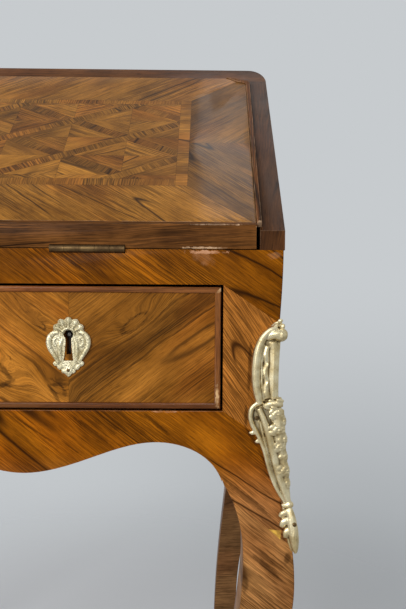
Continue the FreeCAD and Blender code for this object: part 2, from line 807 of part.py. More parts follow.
def lock_case():
    half = BOLT_WIDTH / 2 + BOLT_CLEAR
    low = BOLT_LIFT - BOLT_CLEAR
    high = BOLT_LIFT + BOLT_THICK + BOLT_CLEAR
    case = box(-LOCK_WIDTH / 2, LOCK_WIDTH / 2, -LOCK_LENGTH, 0, 0, LOCK_DEPTH)
    return case.cut(box(-half, half, -BOLT_LENGTH - BOLT_CLEAR, 0, low, high))


def lock_with_pin(wood):
    length = wood - LOCK_DEPTH - KEY_PIN_SETBACK
    pin = Part.makeCylinder(KEY_PIN_RADIUS, length, Vec(0, -KEY_DROP, LOCK_DEPTH))
    return lock_case().fuse(pin)


def lock_bolt():
    half = BOLT_WIDTH / 2
    tip = LOCK_EDGE - BOLT_CLEAR
    return box(-half, half, -BOLT_LENGTH, tip, BOLT_LIFT, BOLT_LIFT + BOLT_THICK)


def lock_pocket(wood):
    """Room in the wood for the lock, the way of its bolt and the keyhole."""
    half = BOLT_WIDTH / 2 + BOLT_CLEAR
    low = BOLT_LIFT - BOLT_CLEAR
    high = BOLT_LIFT + BOLT_THICK + BOLT_CLEAR
    pocket = box(-LOCK_WIDTH / 2, LOCK_WIDTH / 2, -LOCK_LENGTH, 0, 0, LOCK_DEPTH)
    pocket = pocket.fuse(box(-half, half, 0, LOCK_EDGE, low, high))
    return pocket.fuse(keyhole(LOCK_DEPTH, wood, KEYHOLE_RADIUS, KEYHOLE_HALF_SLOT, KEYHOLE_SLOT))


def bolt_mortise(gap):
    half = BOLT_WIDTH / 2 + MORTISE_ROOM
    low = BOLT_LIFT - MORTISE_ROOM
    high = BOLT_LIFT + BOLT_THICK + MORTISE_ROOM
    start = LOCK_EDGE + gap
    return box(-half, half, start, LOCK_EDGE + BOLT_THROW + MORTISE_ROOM, low, high)


def escutcheon(wood):
    """Cast plate with a crest, shoulders, ears and a bottom lobe round the keyhole."""
    w = ESCUTCHEON_HALF_WIDTH
    h = ESCUTCHEON_HALF_HEIGHT
    centre = -KEY_DROP - ESCUTCHEON_DROP
    crest = [(0, 1), (0.22, 0.95), (0.42, 0.8), (0.46, 0.64)]
    shoulder = [(0.46, 0.64), (0.75, 0.56), (0.95, 0.3), (1, 0), (0.88, -0.22), (0.7, -0.36)]
    ear = [(0.7, -0.36), (0.78, -0.52), (0.6, -0.7), (0.36, -0.73)]
    lobe = [(0.36, -0.73), (0.22, -0.92), (0, -1)]
    edges = []
    for side in (1, -1):
        for run in (crest, shoulder, ear, lobe):
            edges.append(spline([Vec(side * x * w, centre + y * h, wood) for x, y in run]))
    plate = slab(edges, Vec(0, 0, ESCUTCHEON_THICK))
    top = wood + ESCUTCHEON_THICK
    half_slot = KEYHOLE_HALF_SLOT + KEYHOLE_RIM
    slot = KEYHOLE_SLOT + KEYHOLE_TONGUE
    return plate.cut(keyhole(wood, top, KEYHOLE_RADIUS + KEYHOLE_RIM, half_slot, slot))


def seat_on_fall(shape):
    moved = shape.copy()
    moved.translate(Vec(0, FALL_LENGTH - LOCK_EDGE, FALL_CLEAR))
    return tilt(moved)


def seat_on_drawer(shape):
    moved = shape.copy()
    moved.rotate(Vec(0, 0, 0), Vec(1, 0, 0), 90)
    moved.translate(Vec(DRAWER_CENTRE, DRAWER_FRONT, DRAWER_TOP - LOCK_EDGE))
    return moved


def seat_on_left_drawer(shape):
    return mirrored(seat_on_drawer(shape))


# Main drawers

def drawer_side_spans():
    left = DRAWER_LEFT + DRAWER_SIDE_INSET
    right = DRAWER_RIGHT - DRAWER_SIDE_INSET
    return (left, left + DRAWER_SIDE), (right - DRAWER_SIDE, right)


def dovetails(x0, x1):
    """Tails on the front end of a drawer side, wider towards the front."""
    low = OPENING_LOW + RUN_CLEAR
    high = DRAWER_TOP - DRAWER_SIDE_DROP
    pitch = (high - low) / TAIL_COUNT
    back = DRAWER_FRONT
    tails = []
    for number in range(TAIL_COUNT):
        middle = low + (number + 0.5) * pitch
        neck = TAIL_NECK / 2
        wide = neck + TAIL_FLARE
        tails.append(prism_x([
            (back, middle - neck),
            (back, middle + neck),
            (back - TAIL_LENGTH, middle + wide),
            (back - TAIL_LENGTH, middle - wide),
        ], x0, x1))
    return tails


def drawer_box():
    """Both sides with their dovetails and the back, grooved for the bottom."""
    low = OPENING_LOW + RUN_CLEAR
    high = DRAWER_TOP - DRAWER_SIDE_DROP
    boards = []
    for x0, x1 in drawer_side_spans():
        boards.append(box(x0, x1, DRAWER_FRONT, DRAWER_END, low, high))
        boards += dovetails(x0, x1)
    left, right = drawer_side_spans()
    back_low = low + DRAWER_BOTTOM_LIFT + DRAWER_BOTTOM
    back_high = high - DRAWER_BACK_DROP
    boards.append(box(left[1], right[0], DRAWER_END - DRAWER_BACK, DRAWER_END, back_low, back_high))
    return boards[0].fuse(boards[1:]).removeSplitter().cut(drawer_bottom())


def drawer_bottom():
    left, right = drawer_side_spans()
    low = OPENING_LOW + RUN_CLEAR + DRAWER_BOTTOM_LIFT
    x0 = left[1] - GROOVE_DEPTH
    x1 = right[0] + GROOVE_DEPTH
    return box(x0, x1, DRAWER_FRONT - GROOVE_DEPTH, DRAWER_END, low, low + DRAWER_BOTTOM)


def cock_bead():
    """Mitred frame with rounded edges, let into the edges of the drawer front."""
    outer = box(DRAWER_LEFT, DRAWER_RIGHT, -COCK_PROUD, COCK_DEPTH, DRAWER_LOW, DRAWER_TOP)
    inner = box(
        DRAWER_LEFT + COCK_WIDTH, DRAWER_RIGHT - COCK_WIDTH, -COCK_PROUD, COCK_DEPTH,
        DRAWER_LOW + COCK_WIDTH, DRAWER_TOP - COCK_WIDTH,
    )
    frame = outer.cut(inner)
    front = [edge for edge in frame.Edges if edge.BoundBox.YMax < TOUCH - COCK_PROUD]
    return frame.makeFillet(COCK_ROUND, front)


def drawer_front():
    board = box(DRAWER_LEFT, DRAWER_RIGHT, 0, DRAWER_FRONT, DRAWER_LOW, DRAWER_TOP)
    board = board.cut(cock_bead()).cut(drawer_bottom())
    for x0, x1 in drawer_side_spans():
        for tail in dovetails(x0, x1):
            board = board.cut(tail)
    return board.cut(seat_on_drawer(lock_pocket(DRAWER_FRONT)))


# Pigeonhole nest

def nest_shelf():
    top = NEST_UNDER + NEST_BOARD
    return box(-CHEEK_INNER, CHEEK_INNER, NEST_SETBACK, BACK_FACE, NEST_UNDER, top)


def nest_divider(x):
    half = NEST_BOARD / 2
    return box(x - half, x + half, NEST_SETBACK, BACK_FACE, WRITING_HEIGHT, NEST_UNDER)


def nest_drawer_span():
    x0 = NEST_BOARD / 2 + NEST_DRAWER_CLEAR
    return x0, x0 + NEST_DRAWER_WIDTH


def nest_knob_place():
    x0, x1 = nest_drawer_span()
    return (x0 + x1) / 2, NEST_SETBACK, WRITING_HEIGHT + NEST_HEIGHT / 2


def nest_knob():
    """Turned brass knob with a tang in the drawer front."""
    x, y, z = nest_knob_place()
    tang = Part.makeCylinder(KNOB_TANG_RADIUS, KNOB_TANG, Vec(x, y, z), Vec(0, 1, 0))
    stem = Part.makeCylinder(KNOB_STEM_RADIUS, KNOB_STEM, Vec(x, y, z), Vec(0, -1, 0))
    ball = Part.makeSphere(KNOB_RADIUS, Vec(x, y - KNOB_STEM - KNOB_RADIUS / 2, z))
    return tang.fuse(stem).fuse(ball).removeSplitter()


def nest_drawer():
    x0, x1 = nest_drawer_span()
    low = WRITING_HEIGHT + RUN_CLEAR
    high = NEST_UNDER - NEST_DRAWER_CLEAR
    back = BACK_FACE - NEST_DRAWER_END_GAP
    wall = NEST_DRAWER_WALL
    body = box(x0, x1, NEST_SETBACK, back, low, high)
    room = box(
        x0 + wall, x1 - wall, NEST_SETBACK + NEST_DRAWER_FRONT, back - wall,
        low + NEST_DRAWER_BOTTOM, high,
    )
    return body.cut(room).cut(nest_knob())


# All nodes

def paired(name, shape):
    return {"right_" + name: shape, "left_" + name: mirrored(shape)}


def build_nodes():
    leg = leg_block(0, SABOT_SOLE, WRITING_HEIGHT)
    shoe = sabot()
    shoes = [shoe, mirrored(shoe), to_back(shoe), mirrored(to_back(shoe))]
    nodes = {}
    nodes.update(paired("front_leg", leg))
    nodes.update(paired("back_leg", to_back(leg)))
    nodes["sabots"] = Part.makeCompound(shoes)
    nodes.update(paired("chute", chute()))
    nodes.update(paired("side_panel", side_panel()))
    nodes["front_apron"] = front_apron()
    nodes["front_rail"] = front_rail()
    nodes["centre_stile"] = centre_stile()
    nodes["centre_guide"] = centre_guide()
    nodes["runner_frame"] = runner_frame()
    nodes["writing_bed"] = writing_bed()
    nodes["back_panel"] = back_panel()
    nodes.update(paired("cheek", cheek()))
    nodes.update(paired("cheek_bead", cheek_bead()))
    nodes["top_board"] = top_board()
    nodes.update(paired("case_leaf", case_leaf()))
    nodes["case_screws"] = case_screws()
    nodes["hinge_pins"] = hinge_pins()
    nodes["stay_studs"] = both_sides(stay_stud())
    nodes["nest_shelf"] = nest_shelf()
    nodes["nest_divider_left"] = nest_divider(-NEST_DIVIDER_X)
    nodes["nest_divider_centre"] = nest_divider(0)
    nodes["nest_divider_right"] = nest_divider(NEST_DIVIDER_X)
    nodes["fall_panel"] = fall_panel()
    nodes["fall_lipping"] = fall_lipping()
    nodes["fall_leather"] = fall_leather()
    nodes.update(paired("fall_leaf", fall_leaf()))
    nodes["fall_screws"] = fall_screws()
    nodes["fall_lock"] = seat_on_fall(lock_with_pin(fall_wood()))
    nodes["fall_lock_bolt"] = seat_on_fall(lock_bolt())
    nodes["fall_escutcheon"] = seat_on_fall(escutcheon(fall_wood()))
    nodes["stay_pivots"] = both_sides(stay_pivot())
    nodes.update(paired("stay", stay()))
    nodes.update(paired("drawer_front", drawer_front()))
    nodes.update(paired("drawer_cock_bead", cock_bead()))
    nodes.update(paired("drawer_box", drawer_box()))
    nodes.update(paired("drawer_bottom", drawer_bottom()))
    nodes.update(paired("drawer_lock", seat_on_drawer(lock_with_pin(DRAWER_FRONT))))
    nodes.update(paired("drawer_lock_bolt", seat_on_drawer(lock_bolt())))
    nodes.update(paired("drawer_escutcheon", seat_on_drawer(escutcheon(DRAWER_FRONT))))
    nodes.update(paired("nest_drawer", nest_drawer()))
    nodes.update(paired("nest_knob", nest_knob()))
    return nodes


def origin_shift(nodes):
    """Y move that puts the middle of the bounding box over the origin."""
    bounds = Part.makeCompound(list(nodes.values())).optimalBoundingBox(False)
    return -(bounds.YMin + bounds.YMax) / 2


NODES = build_nodes()
SHIFT_Y = origin_shift(NODES)
os.makedirs("parts", exist_ok=True)
for node_name, node_shape in NODES.items():
    node_shape.translate(Vec(0, SHIFT_Y, 0))
    node_shape.exportStep("parts/" + node_name + ".step")
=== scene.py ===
"""Looks of the slant-front desk. Metres; X to the sitter's right, Y to the back, Z up from the floor."""

import math
import random
from functools import partialmethod

import bmesh
import bpy
import numpy as np
from mathutils import Matrix, Vector


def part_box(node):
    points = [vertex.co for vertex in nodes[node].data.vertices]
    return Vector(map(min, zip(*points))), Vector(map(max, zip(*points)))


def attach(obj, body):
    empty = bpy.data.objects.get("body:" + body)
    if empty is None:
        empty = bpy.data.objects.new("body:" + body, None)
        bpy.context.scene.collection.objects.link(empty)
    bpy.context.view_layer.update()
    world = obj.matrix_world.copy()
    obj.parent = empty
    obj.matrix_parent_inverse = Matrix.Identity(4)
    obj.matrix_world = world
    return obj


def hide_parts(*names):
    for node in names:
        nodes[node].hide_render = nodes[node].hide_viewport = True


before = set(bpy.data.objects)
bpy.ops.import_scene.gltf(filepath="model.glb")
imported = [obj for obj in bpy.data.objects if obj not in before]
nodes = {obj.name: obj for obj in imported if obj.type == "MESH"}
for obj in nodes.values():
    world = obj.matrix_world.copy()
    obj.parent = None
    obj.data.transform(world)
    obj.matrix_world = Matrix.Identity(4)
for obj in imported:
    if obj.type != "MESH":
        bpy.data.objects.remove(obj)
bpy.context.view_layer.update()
MM = 0.001

# Planes of the case, read from the frame
rail_low, rail_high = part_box("front_rail")
FRONT = rail_low.y
LEVEL = rail_high.z
POST_INNER = rail_high.x
OPENING_TOP = rail_low.z
OPENING_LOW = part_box("front_apron")[1].z
SLOPE = math.radians(42)
UP_SLOPE = Vector((0, math.cos(SLOPE), math.sin(SLOPE)))
OUT_OF_SLOPE = Vector((0, -math.sin(SLOPE), math.cos(SLOPE)))
HINGE = Vector((0, FRONT, LEVEL))
FALL_FACE = 17 * MM
LIP_TOP = FALL_FACE * math.tan(SLOPE)
AXIS_X = Vector((1, 0, 0))
AXIS_Y = Vector((0, 1, 0))
AXIS_Z = Vector((0, 0, 1))

# How squarely a face looks along a direction: on the whole, or quite straight
FACING = 0.6
STRAIGHT = 0.9


def paint(red, green, blue):
    """Linear colour from the usual 0 to 255 values."""
    linear = []
    for value in (red, green, blue):
        share = value / 255
        linear.append(share / 12.92 if share <= 0.04045 else ((share + 0.055) / 1.055) ** 2.4)
    return (*linear, 1.0)


# Shader nodes


class Web:
    """Places and links the nodes of one shader tree."""

    def __init__(self, tree):
        self.tree = tree

    def add(self, kind, **settings):
        node = self.tree.nodes.new("ShaderNode" + kind)
        for name, value in settings.items():
            setattr(node, name, value)
        return node

    def put(self, socket, value):
        if isinstance(value, bpy.types.NodeSocket):
            self.tree.links.new(value, socket)
        else:
            socket.default_value = value

    def reckon(self, operation, first, second=0.0, clamp=False):
        node = self.add("Math", operation=operation, use_clamp=clamp)
        self.put(node.inputs[0], first)
        self.put(node.inputs[1], second)
        return node.outputs[0]

    times = partialmethod(reckon, "MULTIPLY")
    plus = partialmethod(reckon, "ADD")
    minus = partialmethod(reckon, "SUBTRACT")
    most = partialmethod(reckon, "MAXIMUM")
    size = partialmethod(reckon, "ABSOLUTE")

    def span(self, value, low, high, to_low=0.0, to_high=1.0):
        node = self.add("MapRange", interpolation_type="SMOOTHSTEP")
        for number, part in enumerate((value, low, high, to_low, to_high)):
            self.put(node.inputs[number], part)
        return node.outputs[0]

    def mix(self, factor, first, second, mode="MIX"):
        node = self.add("Mix", data_type="RGBA", blend_type=mode)
        self.put(node.inputs[0], factor)
        self.put(node.inputs[6], first)
        self.put(node.inputs[7], second)
        return node.outputs[2]

    def stretch(self, vector, scale):
        node = self.add("VectorMath", operation="MULTIPLY")
        self.put(node.inputs[0], vector)
        node.inputs[1].default_value = scale
        return node.outputs[0]

    def noise(self, vector, scale, detail=2.0, rough=0.5):
        """Noise with its own scale along each axis of the vector."""
        node = self.add("TexNoise")
        self.put(node.inputs["Vector"], self.stretch(vector, scale))
        node.inputs["Scale"].default_value = 1.0
        node.inputs["Detail"].default_value = detail
        node.inputs["Roughness"].default_value = rough
        return node.outputs["Fac"]

    def group(self, tree, **values):
        node = self.add("Group", node_tree=tree)
        for name, value in values.items():
            self.put(node.inputs[name.replace("_", " ")], value)
        return node.outputs

    def axes(self, vector):
        node = self.add("SeparateXYZ")
        self.put(node.inputs[0], vector)
        return node.outputs

    def joined(self, x, y, z=0.0):
        node = self.add("CombineXYZ")
        for number, part in enumerate((x, y, z)):
            self.put(node.inputs[number], part)
        return node.outputs[0]

    def place(self):
        return self.add("TexCoord").outputs["Object"]

    def bump(self, shader, height, distance, strength=1.0):
        node = self.add("Bump")
        node.inputs["Strength"].default_value = strength
        node.inputs["Distance"].default_value = distance
        self.put(node.inputs["Height"], height)
        self.put(shader.inputs["Normal"], node.outputs["Normal"])


def new_group(name, inputs, outputs):
    """Node group with its sockets. Returns the group, its web, and the open ends."""
    group = bpy.data.node_groups.new(name, "ShaderNodeTree")
    for kind, label in inputs:
        group.interface.new_socket(label, in_out="INPUT", socket_type="NodeSocket" + kind)
    for kind, label in outputs:
        group.interface.new_socket(label, in_out="OUTPUT", socket_type="NodeSocket" + kind)
    ends = group.nodes.new("NodeGroupInput").outputs, group.nodes.new("NodeGroupOutput").inputs
    return group, Web(group), *ends


def new_material(name, **plain):
    """Material with the plain values of its shader set. Returns it, its web and its shader."""
    made = bpy.data.materials.new(name)
    made.use_nodes = True
    shader = made.node_tree.nodes["Principled BSDF"]
    for label, value in plain.items():
        shader.inputs[label.replace("_", " ")].default_value = value
    return made, Web(made.node_tree), shader


def make_veneer_figure():
    """Sawn veneer: bands, strands and pencil lines along the grain, veins, pores, glue lines, stains and
    painted contact shadows, and rubbed edges and spots, one of them a painted glint.
    """
    group, web, given, out = new_group(
        "veneer_figure",
        [("Vector", "Grain"), ("Float", "Tone"), ("Float", "Worn"), ("Float", "Glue"), ("Float", "Streak"),
         ("Color", "Light"), ("Color", "Deep"), ("Color", "Vein"), ("Color", "Bare"), ("Float", "Veining")],
        [("Color", "Color"), ("Float", "Roughness"), ("Float", "Height")],
    )
    flat = given["Grain"]
    sway = web.minus(web.noise(flat, (4.5, 11, 1), 2), 0.5)
    ripple = web.minus(web.noise(flat, (45, 60, 1), 2), 0.5)
    along, across, _ = web.axes(flat)
    bent = web.plus(across, web.times(sway, 0.016))
    grain = web.joined(along, web.plus(bent, web.times(ripple, 0.002)))
    mottle = web.span(web.noise(flat, (20, 40, 1), 3, 0.6), 0.3, 0.7)
    bands = web.span(web.noise(grain, (3.0, 24, 1), 2, 0.5), 0.34, 0.66)
    strands = web.span(web.noise(grain, (15, 1150, 1), 2, 0.55), 0.41, 0.59)
    fine = web.span(web.noise(grain, (9, 330, 1), 3, 0.65), 0.28, 0.72)
    gathered = web.span(web.noise(flat, (7, 20, 1), 2), 0.34, 0.62, 0.4, 1.0)
    pores = web.span(web.noise(grain, (80, 1900, 1), 1), 0.55, 0.68)
    field = web.noise(grain, (1.6, 14, 1), 1.4, 0.4)
    ring = web.size(web.minus(web.reckon("FRACT", web.times(field, 8.0)), 0.5))
    veins = web.span(ring, 0.0, 0.08, 0.95, 0.0)
    veins = web.times(veins, web.span(web.noise(flat, (5, 14, 1), 2), 0.45, 0.56))
    broken = web.plus(0.55, web.times(strands, 0.45))
    smoke = web.span(web.noise(grain, (3.0, 34, 1), 2, 0.55), 0.57, 0.74, 0.0, 0.5)
    dark = web.most(veins, web.times(smoke, broken))
    dashes = web.span(web.noise(grain, (22, 760, 1), 1), 0.55, 0.64, 0.0, 0.7)
    pencil = web.times(web.times(strands, gathered), 0.72)
    pencil = web.most(pencil, web.times(dashes, gathered))
    dark = web.times(web.most(dark, pencil), given["Veining"])
    dark = web.most(dark, web.times(given["Streak"], broken), clamp=True)
    mixed = web.plus(web.times(bands, 0.45), web.times(mottle, 0.55))
    colour = web.mix(mixed, given["Light"], given["Deep"])
    ruddy = web.span(web.noise(flat, (5, 13, 1), 2), 0.46, 0.64)
    colour = web.mix(web.times(ruddy, 0.5), colour, (1.0, 0.76, 0.7, 1.0), "MULTIPLY")
    colour = web.mix(dark, colour, given["Vein"])
    shade = web.plus(0.95, web.times(fine, 0.26))
    shade = web.times(shade, web.minus(1.0, web.times(pores, 0.42)))
    shade = web.times(shade, web.plus(1.0, given["Tone"]))
    grey = web.add("CombineColor")
    for socket in grey.inputs[:3]:
        web.put(socket, shade)
    colour = web.mix(1.0, colour, grey.outputs[0], "MULTIPLY")
    rub = web.noise(flat, (60, 60, 1), 3, 0.6)
    bare = web.times(given["Worn"], web.span(rub, 0.42, 0.66, 0.25, 1.0), clamp=True)
    colour = web.mix(bare, colour, given["Bare"])
    # Darkening: glue lines, stains and, round the knee mounts, painted contact shadow
    colour = web.mix(web.times(given["Glue"], 0.75), colour, given["Vein"])
    web.put(out["Color"], colour)
    smear = web.noise(flat, (14, 22, 1), 3, 0.6)
    rough = web.plus(web.span(smear, 0.3, 0.7, 0.30, 0.44), web.times(pores, 0.12))
    web.put(out["Roughness"], web.plus(rough, web.times(bare, 0.2), clamp=True))
    relief = web.plus(web.times(pores, -0.6), web.times(fine, 0.25))
    web.put(out["Height"], web.minus(relief, web.times(given["Glue"], 1.5)))
    return group


def make_board_figure():
    """Solid board: the grain runs along the first axis and shows its rings on the ends."""
    group, web, given, out = new_group(
        "board_figure",
        [("Vector", "Place"), ("Color", "Light"), ("Color", "Deep"), ("Color", "Grime")],
        [("Color", "Color"), ("Float", "Roughness"), ("Float", "Height")],
    )
    place = given["Place"]
    rings = web.span(web.noise(place, (2.2, 40, 40), 3, 0.6), 0.32, 0.68)
    fibre = web.span(web.noise(place, (14, 420, 420), 3, 0.6), 0.3, 0.7)
    flecks = web.span(web.noise(place, (60, 900, 900), 1), 0.58, 0.70)
    grime = web.span(web.noise(place, (7, 7, 7), 4, 0.6), 0.48, 0.75)
    colour = web.mix(rings, given["Light"], given["Deep"])
    colour = web.mix(web.times(fibre, 0.35), colour, given["Deep"])
    colour = web.mix(web.times(flecks, 0.45), colour, given["Grime"])
    colour = web.mix(web.times(grime, 0.35), colour, given["Grime"])
    web.put(out["Color"], colour)
    web.put(out["Roughness"], web.plus(0.52, web.times(fibre, 0.2)))
    web.put(out["Height"], web.minus(fibre, flecks))
    return group


def make_metal_age():
    """Cast or wrought metal: rubbed bright high places, dirt in the hollows deepened with painted shade,
    spots and fine pits.
    """
    group, web, given, out = new_group(
        "metal_age",
        [("Vector", "Place"), ("Float", "Hollow"), ("Float", "Rough"), ("Float", "Specks"),
         ("Color", "Bright"), ("Color", "Dull"), ("Color", "Dirt")],
        [("Color", "Color"), ("Float", "Roughness"), ("Float", "Height")],
    )
    place = given["Place"]
    cloud = web.span(web.noise(place, (70, 70, 70), 4, 0.6), 0.35, 0.68)
    spots = web.span(web.noise(place, (600, 600, 600), 2), 0.55, 0.70)
    pits = web.noise(place, (900, 900, 900), 3)
    hollow = given["Hollow"]
    colour = web.mix(cloud, given["Bright"], given["Dull"])
    # Hollows and specks take the grime colour: dirt and patina, and in the hollows also painted shade
    grime_and_shade = web.most(hollow, web.times(spots, given["Specks"]))
    web.put(out["Color"], web.mix(grime_and_shade, colour, given["Dirt"]))
    rough = web.plus(given["Rough"], web.times(cloud, 0.16))
    web.put(out["Roughness"], web.plus(rough, web.times(grime_and_shade, 0.3), clamp=True))
    web.put(out["Height"], web.minus(pits, spots))
    return group


RAW_WOOD = (222, 184, 146)
VENEER_FIGURE = make_veneer_figure()
BOARD_FIGURE = make_board_figure()
METAL_AGE = make_metal_age()


def off_centre(web, spots, torn):
    """How far a point of the front lies from each spot, as a share of its half sizes.

    A spot is its centre x and z, half length and half width in millimetres, and its turn in degrees.
    """
    place = web.place()
    x, _, z = web.axes(place)
    ragged = web.times(web.minus(web.noise(place, (300, 300, 300), 3, 0.65), 0.5), torn)
    for *lengths, angle in spots:
        centre_x, centre_z, half_long, half_wide = (length * MM for length in lengths)
        turn = math.radians(angle)
        dx = web.minus(x, centre_x)
        dz = web.minus(z, centre_z)
        along = web.plus(web.times(dx, math.cos(turn)), web.times(dz, math.sin(turn)))
        aside = web.minus(web.times(dz, math.cos(turn)), web.times(dx, math.sin(turn)))
        along = web.reckon("DIVIDE", along, half_long)
        aside = web.reckon("DIVIDE", aside, half_wide)
        away = web.plus(web.times(along, along), web.times(aside, aside))
        yield web.plus(web.reckon("SQRT", away), ragged)


def patches(web, spots, torn=2.4):
    """Ragged mask of small places on the front."""
    total = 0.0
    for away in off_centre(web, spots, torn):
        total = web.most(total, web.span(away, 0.4, 1.0, 1.0, 0.0))
    return total


def knot_rings(web, spots):
    """Mask of the dark heart and the soft broken rings round knots."""
    total = 0.0
    gaps = web.span(web.noise(web.place(), (70, 70, 70), 2), 0.36, 0.54, 0.5, 1.0)
    for away in off_centre(web, spots, 0.6):
        edge = web.size(web.minus(away, 0.8))
        ring = web.times(web.span(edge, 0.0, 0.4, 0.9, 0.0), gaps)
        total = web.most(total, ring)
        total = web.most(total, web.span(away, 0.3, 1.0, 0.35, 0.0))
    return total


def round_knots(web, flat, spots):
    """Grain map that swerves round the knots."""
    along, across, _ = web.axes(flat)
    for away, spot in zip(off_centre(web, spots, 0.2), spots):
        across = web.plus(across, web.span(away, 0.2, 2.6, 1.6 * spot[3] * MM, 0.0))
    return web.joined(along, across)


def dark_streaks(web, flat, streaks):
    """Mask of the heartwood streaks: millimetres across the grain, half width and depth of each."""
    _, across, _ = web.axes(flat)
    wander = web.minus(web.noise(flat, (16, 30, 1), 3, 0.55), 0.5)
    across = web.plus(across, web.times(wander, 0.010))
    total = 0.0
    for centre, half, depth in streaks:
        away = web.size(web.minus(across, centre * MM))
        total = web.most(total, web.span(away, 0.4 * half * MM, half * MM, depth, 0.0))
    return total


def show(web, shader, figure, depth, strength=0.5):
    """Feeds a figure's colour, roughness and relief to a shader."""
    web.put(shader.inputs["Base Color"], figure["Color"])
    web.put(shader.inputs["Roughness"], figure["Roughness"])
    web.bump(shader, figure["Height"], depth, strength)


def veneer(
    name, light, deep, vein, bare=RAW_WOOD, low=(), veining=1.0, polish=0.1, haze=0.18, gloss=0.05,
    spots=(), rubs=(), stains_and_shadows=(), knots=(), streaks=(),
):
    """Polished veneer laid by the grain map and sheet marks of its piece; low is its colours on the shins."""
    light, deep, vein, bare, *low = (paint(*colour) for colour in (light, deep, vein, bare, *low))
    made, web, shader = new_material(
        name, Coat_Weight=polish, Coat_Roughness=haze, IOR=1.45, Specular_IOR_Level=gloss,
    )
    flat = web.add("UVMap", uv_map="grain").outputs[0]
    marks = web.add("SeparateColor")
    sheets = web.add("Attribute", attribute_name="sheet").outputs
    web.put(marks.inputs[0], sheets["Color"])
    worn, glue = marks.outputs[1], marks.outputs[2]
    if low:
        shin = web.span(web.axes(web.place())[2], FADE_TOP, FADE_END)
        shin = web.most(shin, web.minus(1.0, sheets["Alpha"]))
        light, deep, bare = (web.mix(shin, high, faded) for high, faded in zip((light, deep, bare), low))
    if spots:
        worn = web.most(worn, web.times(patches(web, spots), 1.3), clamp=True)
    if rubs:
        worn = web.most(worn, web.times(patches(web, rubs, 1.4), 0.3))
    # Stains and dark streaks, and round the knee mounts a painted contact shadow, darken like the glue lines
    if stains_and_shadows:
        glue = web.most(glue, web.times(patches(web, stains_and_shadows, 0.9), 0.8))
    if knots:
        flat = round_knots(web, flat, knots)
    streak = dark_streaks(web, flat, streaks)
    if knots:
        streak = web.most(streak, knot_rings(web, knots))
    figure = web.group(
        VENEER_FIGURE, Grain=flat, Tone=marks.outputs[0], Worn=worn, Glue=glue, Streak=streak,
        Veining=veining, Light=light, Deep=deep, Vein=vein, Bare=bare,
    )
    show(web, shader, figure, 0.08 * MM)
    return made


def board(name, light, deep, grime, turn=(0, 0, 0)):
    """Solid inner wood. turn brings the grain's direction on to the first axis."""
    made, web, shader = new_material(name, IOR=1.45)
    mapping = web.add("Mapping", vector_type="TEXTURE")
    mapping.inputs["Rotation"].default_value = [math.radians(angle) for angle in turn]
    web.put(mapping.inputs["Vector"], web.place())
    light, deep, grime = (paint(*colour) for colour in (light, deep, grime))
    figure = web.group(BOARD_FIGURE, Place=mapping.outputs[0], Light=light, Deep=deep, Grime=grime)
    show(web, shader, figure, 0.2 * MM)
    return made


def metal(name, bright, dull, grime_and_shade, rough, hollow_low=0.40, hollow_high=0.47, chasing=0.1 * MM, specks=0.15):
    """Aged metal. Hollows are where the surface's pointiness falls below the given span, or are marked; they
    take the grime colour, partly as dirt and partly as painted shade.
    """
    bright, dull, grime_and_shade = (paint(*colour) for colour in (bright, dull, grime_and_shade))
    made, web, shader = new_material(name, Metallic=1.0)
    point = web.add("NewGeometry").outputs["Pointiness"]
    marked = web.add("Attribute", attribute_name="hollow").outputs["Fac"]
    hollow = web.most(web.span(point, hollow_low, hollow_high, 1.0, 0.0), marked)
    age = web.group(
        METAL_AGE, Place=web.place(), Hollow=hollow, Rough=rough, Specks=specks,
        Bright=bright, Dull=dull, Dirt=grime_and_shade,
    )
    show(web, shader, age, chasing, 0.6)
    return made


# Marks of age and painted shade on the front, each a spot in the way of off_centre
LEVEL_MM = LEVEL / MM
LEDGE_MM = OPENING_LOW / MM
# Dark lines round the knee mounts: partly dirt, partly a painted contact shadow where the casting meets the
# wood
MOUNT_DIRT_AND_SHADOW = (
    (317.5, 598, 32, 2.4, 88), (314.5, 553, 13, 2.2, 90), (320, 534, 14, 2.4, -58),
    (336, 504, 27, 2.4, -62), (349, 466, 16, 2.4, -80),
)
FRONT_STREAKS = (
    (119, 541, 28, 1.4, -34), (173, 540, 26, 2.4, -37), (233, 545, 22, 2.6, -41),
    (154, 524, 16, 1.4, -37), (334, 417, 26, 3.2, -41), (160, 690, 22, 1.6, -36),
)
SHIN_STAINS = (
    (317, 477, 36, 3.6, -37), (353, 425, 4, 7, -20), (314, 403, 5, 12, 0), (302, 472, 3, 8, 0),
    (350.5, 445, 3, 6, 0),
)
# Darker wood low in each drawer keyhole
KEYHOLE_DARKENING = ((154, 609, 6, 8, 0), (-154, 609, 6, 8, 0))
KNOT_EDGES = (
    (95, 593, 14, 3.0, -52), (95, 581.5, 12, 3.2, 28), (95, 566.5, 11, 2.4, -33),
    (143.5, 581.5, 12, 2.4, 3), (139.5, 573, 12, 2.6, -57),
)
KNOTS = ((88, 591, 19, 9, -38), (141, 579, 13, 5, -40), (121, 640, 16, 4, -37), (213, 638, 18, 6, 37))
BEAD_LOW, BEAD_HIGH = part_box("right_cheek_bead")
TORN_BEAD_END = ((BEAD_HIGH.x / MM - 2, BEAD_LOW.z / MM + 3, 3, 5, 0),)
FADE_TOP, FADE_END = LEVEL - 185 * MM, LEVEL - 250 * MM

